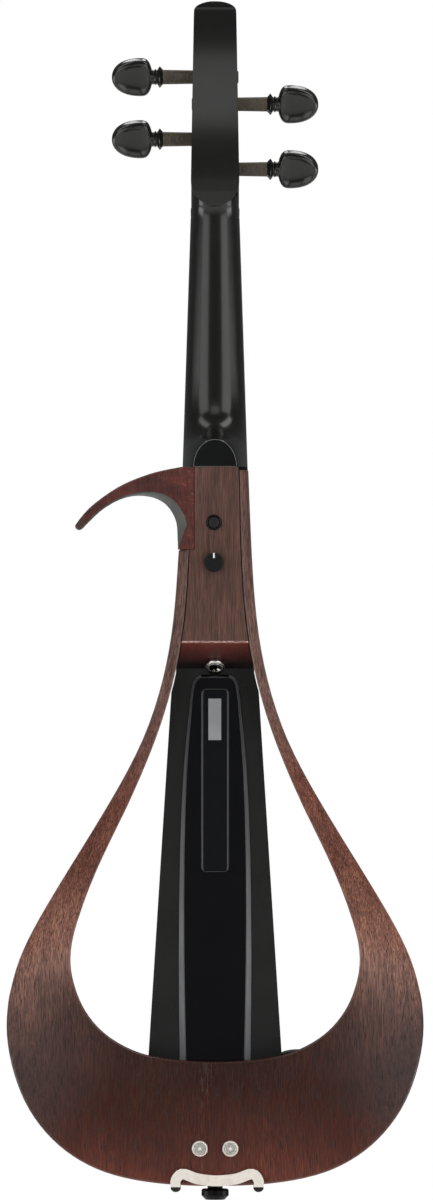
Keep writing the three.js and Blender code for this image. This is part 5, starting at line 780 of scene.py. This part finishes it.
KNOB_SIDES = 72
KNOB_PROFILE = [(0.12, 3.55), (0.0, 3.75), (0.1, 4.2), (0.55, 4.7), (5.2, 4.8), (5.4, 4.6)]
POINTER_HALF_WIDTH = 0.42
POINTER_INNER, POINTER_OUTER = 2.2, 4.72
POINTER_LIFT, POINTER_DEPTH = 0.02, 0.9
BUTTON_PROFILE = [(0.3, 0.6), (0.22, 1.6), (0.0, 2.2), (0.12, 2.55), (0.45, 2.75)]
BEZEL_PROFILE = [(0.35, 3.55), (0.1, 3.45), (0.0, 3.25), (0.1, 3.08), (0.3, 3.02)]
BEZEL_INNER, BEZEL_OUTER = 3.05, 3.55


def volume_knob():
    axis, face, _ = seat("volume_knob")
    knob = turned("volume_knob.body", axis, ALONG_Y, from_face(face, KNOB_PROFILE), KNOB_SIDES)
    knurled(knob, KNOB_SIDES, 0.06, 0.18)
    softened(knob, 35.0)
    placed(knob, "volume_knob", "black_plastic")
    pointer = block_of("volume_knob.pointer",
                       axis + Vector((-POINTER_HALF_WIDTH, face - POINTER_LIFT, POINTER_INNER)) * MM,
                       axis + Vector((POINTER_HALF_WIDTH, face + POINTER_DEPTH, POINTER_OUTER)) * MM)
    rounded(pointer, 0.08)
    softened(pointer)
    placed(pointer, "volume_knob", "black_plastic", "pointer_white")


def push_button():
    axis, face, foot = seat("switch_button")
    button = turned("switch_button.body", axis, ALONG_Y,
                    from_face(face, BUTTON_PROFILE) + [(foot, BUTTON_PROFILE[-1][1])])
    softened(button, 35.0)
    placed(button, "switch_button", "black_plastic", "button_plastic")
    axis, face, foot = seat("switch_bezel")
    bezel = turned("switch_bezel.ring", axis, ALONG_Y, [
        (foot, BEZEL_INNER), (foot, BEZEL_OUTER), *from_face(face, BEZEL_PROFILE), (foot, BEZEL_INNER),
    ], bored=True)
    softened(bezel, 35.0)
    placed(bezel, "switch_bezel", "black_plastic", "bezel_plastic")


# Label plate: bare, with a thin lighter line down each side and a small bare sticker on its upper end

LABEL_MARGIN = 0.34
LABEL_LINE_X = 5.5
STICKER_LEFT, STICKER_RIGHT = -3.35, 3.05
STICKER_BOTTOM, STICKER_TOP = -255.2, -234.5
STICKER_LIFT, STICKER_SUNK = 0.07, 0.02


def on_back(face):
    return face.normal.y < -0.9


def label_plate():
    _, back, _ = seat("label_plate")
    plate = taken_over("label_plate", "label_plate.plate")
    edited(plate)
    pick(plate, "faces", on_back)
    bpy.ops.mesh.inset(thickness=LABEL_MARGIN * MM)
    done()
    plate.data.materials.append(FINISHES["grey_label"])
    marked(plate, "label_line",
           lambda face: on_back(face) and abs(face.calc_center_median().x) > LABEL_LINE_X * MM)
    softened(plate, 30.0)
    placed(plate, "label_plate", "grey_label")
    sticker = block_of("label_plate.sticker",
                       Vector((STICKER_LEFT, back - STICKER_LIFT, STICKER_BOTTOM)) * MM,
                       Vector((STICKER_RIGHT, back + STICKER_SUNK, STICKER_TOP)) * MM)
    rounded(sticker, 0.03)
    softened(sticker)
    placed(sticker, "label_plate", "grey_label", "sticker_grey")


# Pieces shaped further from their CAD solids

SKIN_SHARP = 32.0  # edges sharper than this stay arrises under the smooth skin
RIM_WIDTH = 0.0014  # the frame's narrow faces are thinner than this
FOOT_TIP_CUT, FOOT_TIP_TOP = -0.4776, -0.47765
BOLT_PROFILE = [
    (0.5, 0.35), (0.55, 0.75), (0.85, 0.9), (0.85, 1.35), (0.6, 1.5), (0.6, 1.7), (0.8, 1.85),
    (0.8, 2.2), (0.1, 2.5), (0.0, 2.62), (0.12, 2.76), (2.3, 2.8), (2.3, 1.9),
]
BOLT_RADIUS = 1.9
BOLT_MIDDLE_RADIUS, BOLT_MIDDLE_DEPTH = 0.8, 2.2


def frame_ribbon(node):
    """The frame: its long edges are softened narrow faces with a brighter gloss and a lighter colour that
    paints a highlight along them.
    """
    piece = squared(node, "frame.ribbon")
    piece.data.materials.append(FINISHES["frame_walnut"])
    marked(piece, "frame_rim_gloss_and_highlight", lambda face: len(face.verts) == 4
           and min(edge.calc_length() for edge in face.edges) < RIM_WIDTH)
    rounded(piece, 0.3, 2, SKIN_SHARP)
    finish_with(piece, "SUBSURF", levels=1, render_levels=1)
    softened(piece)
    placed(piece, node, "dark_walnut")


def clamp_foot(node):
    """The foot: a flat bright face, with painted shade on its rounded edges and on the tips below."""
    piece = taken_over(node, "clamp_foot.body")
    edited(piece)
    bpy.ops.mesh.select_all(action="SELECT")
    bpy.ops.mesh.bisect(plane_co=(0.0, 0.0, FOOT_TIP_CUT), plane_no=(0.0, 0.0, 1.0))
    done()
    rimmed(piece, "clamp_nickel", "clamp_edge_shade", 0.6, 4, 50.0)
    marked(piece, "clamp_tip_shade", lambda face: face.calc_center_median().z < FOOT_TIP_TOP)
    softened(piece, 30.0)
    placed(piece, node, "nickel")


def heel_cap(node):
    """The cap at the neck's foot, with a painted highlight along its thin rounded edge."""
    piece = taken_over(node, "heel_cap.cap")
    rimmed(piece, "heel_gloss", "heel_rim_highlight", 0.2, 2, 50.0)
    softened(piece, 30.0)
    placed(piece, node, "gloss_black")


def frame_bolt(node):
    """A bolt with turned rings and a raised middle in its head."""
    axis, face, end = seat(node)
    depth = face * MM + BOLT_MIDDLE_DEPTH * MM
    piece = turned(node + ".bolt", axis, ALONG_Y, from_face(face, BOLT_PROFILE) + [(end, BOLT_RADIUS)], 48)
    piece.data.materials.append(FINISHES["bolt_ring"])
    marked(piece, "cup_nickel", lambda side: side.calc_center_median().y < depth
           and (side.calc_center_median() - axis).xz.length < BOLT_MIDDLE_RADIUS * MM)
    softened(piece, 30.0)
    placed(piece, node, "steel")


def on_long_bevel(face):
    """Whether a face of the cover slopes to its side, and isn't one of its rims."""
    return 0.25 < abs(face.normal.x) < 0.9 and face.normal.y < -0.3 and face.material_index == 0


def back_cover(node):
    """The gloss cover: its long bevels carry a lighter grey as painted reflection, between two thin lines of
    painted highlight on its rims.
    """
    piece = taken_over(node, "back_cover.cover")
    rimmed(piece, "gloss_black", "cover_rim_highlight", 0.3, 2, 24.0)
    marked(piece, "cover_bevel_reflection", on_long_bevel)
    softened(piece, 20.0)
    placed(piece, node, "gloss_black")


SHAPED = {
    "back_cover": back_cover, "clamp_foot": clamp_foot, "frame": frame_ribbon,
    "frame_bolt_bass": frame_bolt, "frame_bolt_treble": frame_bolt, "heel_cap": heel_cap,
}


# Pieces that are their CAD solids with eased edges

# Each row holds the finish, the edge in millimetres and the angle up to which it is smooth.
# A name that ends in an underscore stands for the nodes that begin with it.
PLAIN = {
    "neck_and_pegbox": ("black_lacquer", 0.35, 40), "fingerboard": ("ebony", 0.5, 30),
    "nut": ("ebony", 0.25, 30), "saddle": ("ebony", 0.4, 30), "tailpiece": ("ebony", 0.3, 30),
    "chin_rest": ("ebony", 0.6, 40), "bridge": ("maple", 0.2, 35), "rear_block": ("walnut", 0.12, 12),
    "upper_horn": ("mahogany", 0.4, 30), "body_core": ("body_black", 0.5, 30),
    "top_plate": ("top_wood", 0.6, 30), "pot_shaft": ("steel", 0.15, 30), "pot_body": ("nickel", 0.2, 30),
    "switch_body": ("black_plastic", 0.2, 30), "jack_barrel": ("chrome", 0.15, 30),
    "jack_nut": ("chrome", 0.2, 30), "end_button": ("end_gloss", 0.3, 30), "tailgut": ("gut", 0.0, 60),
    "lever_pin": ("steel", 0.1, 40), "clamp_foot_cork": ("cork", 0.1, 30),
    "clamp_bracket": ("nickel", 0.25, 30), "output_wire": ("wire", 0.0, 60),
    "bolt_cup_": ("cup_nickel", 0.15, 30), "clamp_barrel_": ("nickel", 0.15, 30),
    "bracket_screw_": ("steel", 0.12, 30), "rest_cork_": ("cork", 0.15, 30),
    "pickup_": ("pickup", 0.15, 30), "pickup_wire_": ("wire", 0.0, 60),
    "tuner_lever_": ("nickel", 0.15, 30), "string_": ("steel", 0.0, 60),
}
RECORD_SLOT = {"body_black": "black_body", "end_gloss": "black_plastic", "cup_nickel": "nickel"}
SKINNED = ("chin_rest", "neck_and_pegbox")  # with a smooth skin between their arrises


def on_horn_edge(face):
    """Whether a face of the horn is neither its back nor its upper side."""
    return face.normal.y > -0.93 and (face.normal.z < 0.15 or face.normal.y > -0.2)


def plain(node):
    """A copy of the CAD solid with eased edges or a smooth skin, in the finish of its row."""
    finish, edge, angle = PLAIN[node if node in PLAIN else node.rsplit("_", 1)[0] + "_"]
    if node in SKINNED:
        piece = squared(node, node + ".dressed")
        rounded(piece, edge, 3, SKIN_SHARP)
        finish_with(piece, "SUBSURF", levels=1, render_levels=1)
    else:
        piece = taken_over(node, node + ".dressed")
        if edge:
            rounded(piece, edge, 3 if edge > 0.2 else 2)
    softened(piece, angle, node != "neck_and_pegbox")
    placed(piece, node, RECORD_SLOT.get(finish, finish), finish)
    # Its sides get the grey of their painted sheen.
    if node == "upper_horn":
        marked(piece, "horn_edge_sheen", on_horn_edge)


pegs()
tuner_screws()
volume_knob()
push_button()
label_plate()
for node in sorted(set(NODES) - dressed):
    SHAPED.get(node, plain)(node)


# Floor

FLOOR_Z, FLOOR_RADIUS = -0.72, 1.8
bpy.ops.object.select_all(action="DESELECT")
bpy.ops.mesh.primitive_circle_add(vertices=96, radius=FLOOR_RADIUS, fill_type="NGON",
                                  location=(0.0, 0.0, FLOOR_Z))
floor = bpy.context.object
floor.name = "floor"
settled(floor)
pale = Finish("pale floor", tone(236, 236, 234))
grain = pale.noise(pale.place, 40.0, 4.0)
pale.shade(Base_Color=pale.ramp(grain, (0.3, tone(232, 232, 230)), (0.7, tone(240, 240, 238))), Roughness=0.7)
floor.data.materials.append(pale.material)
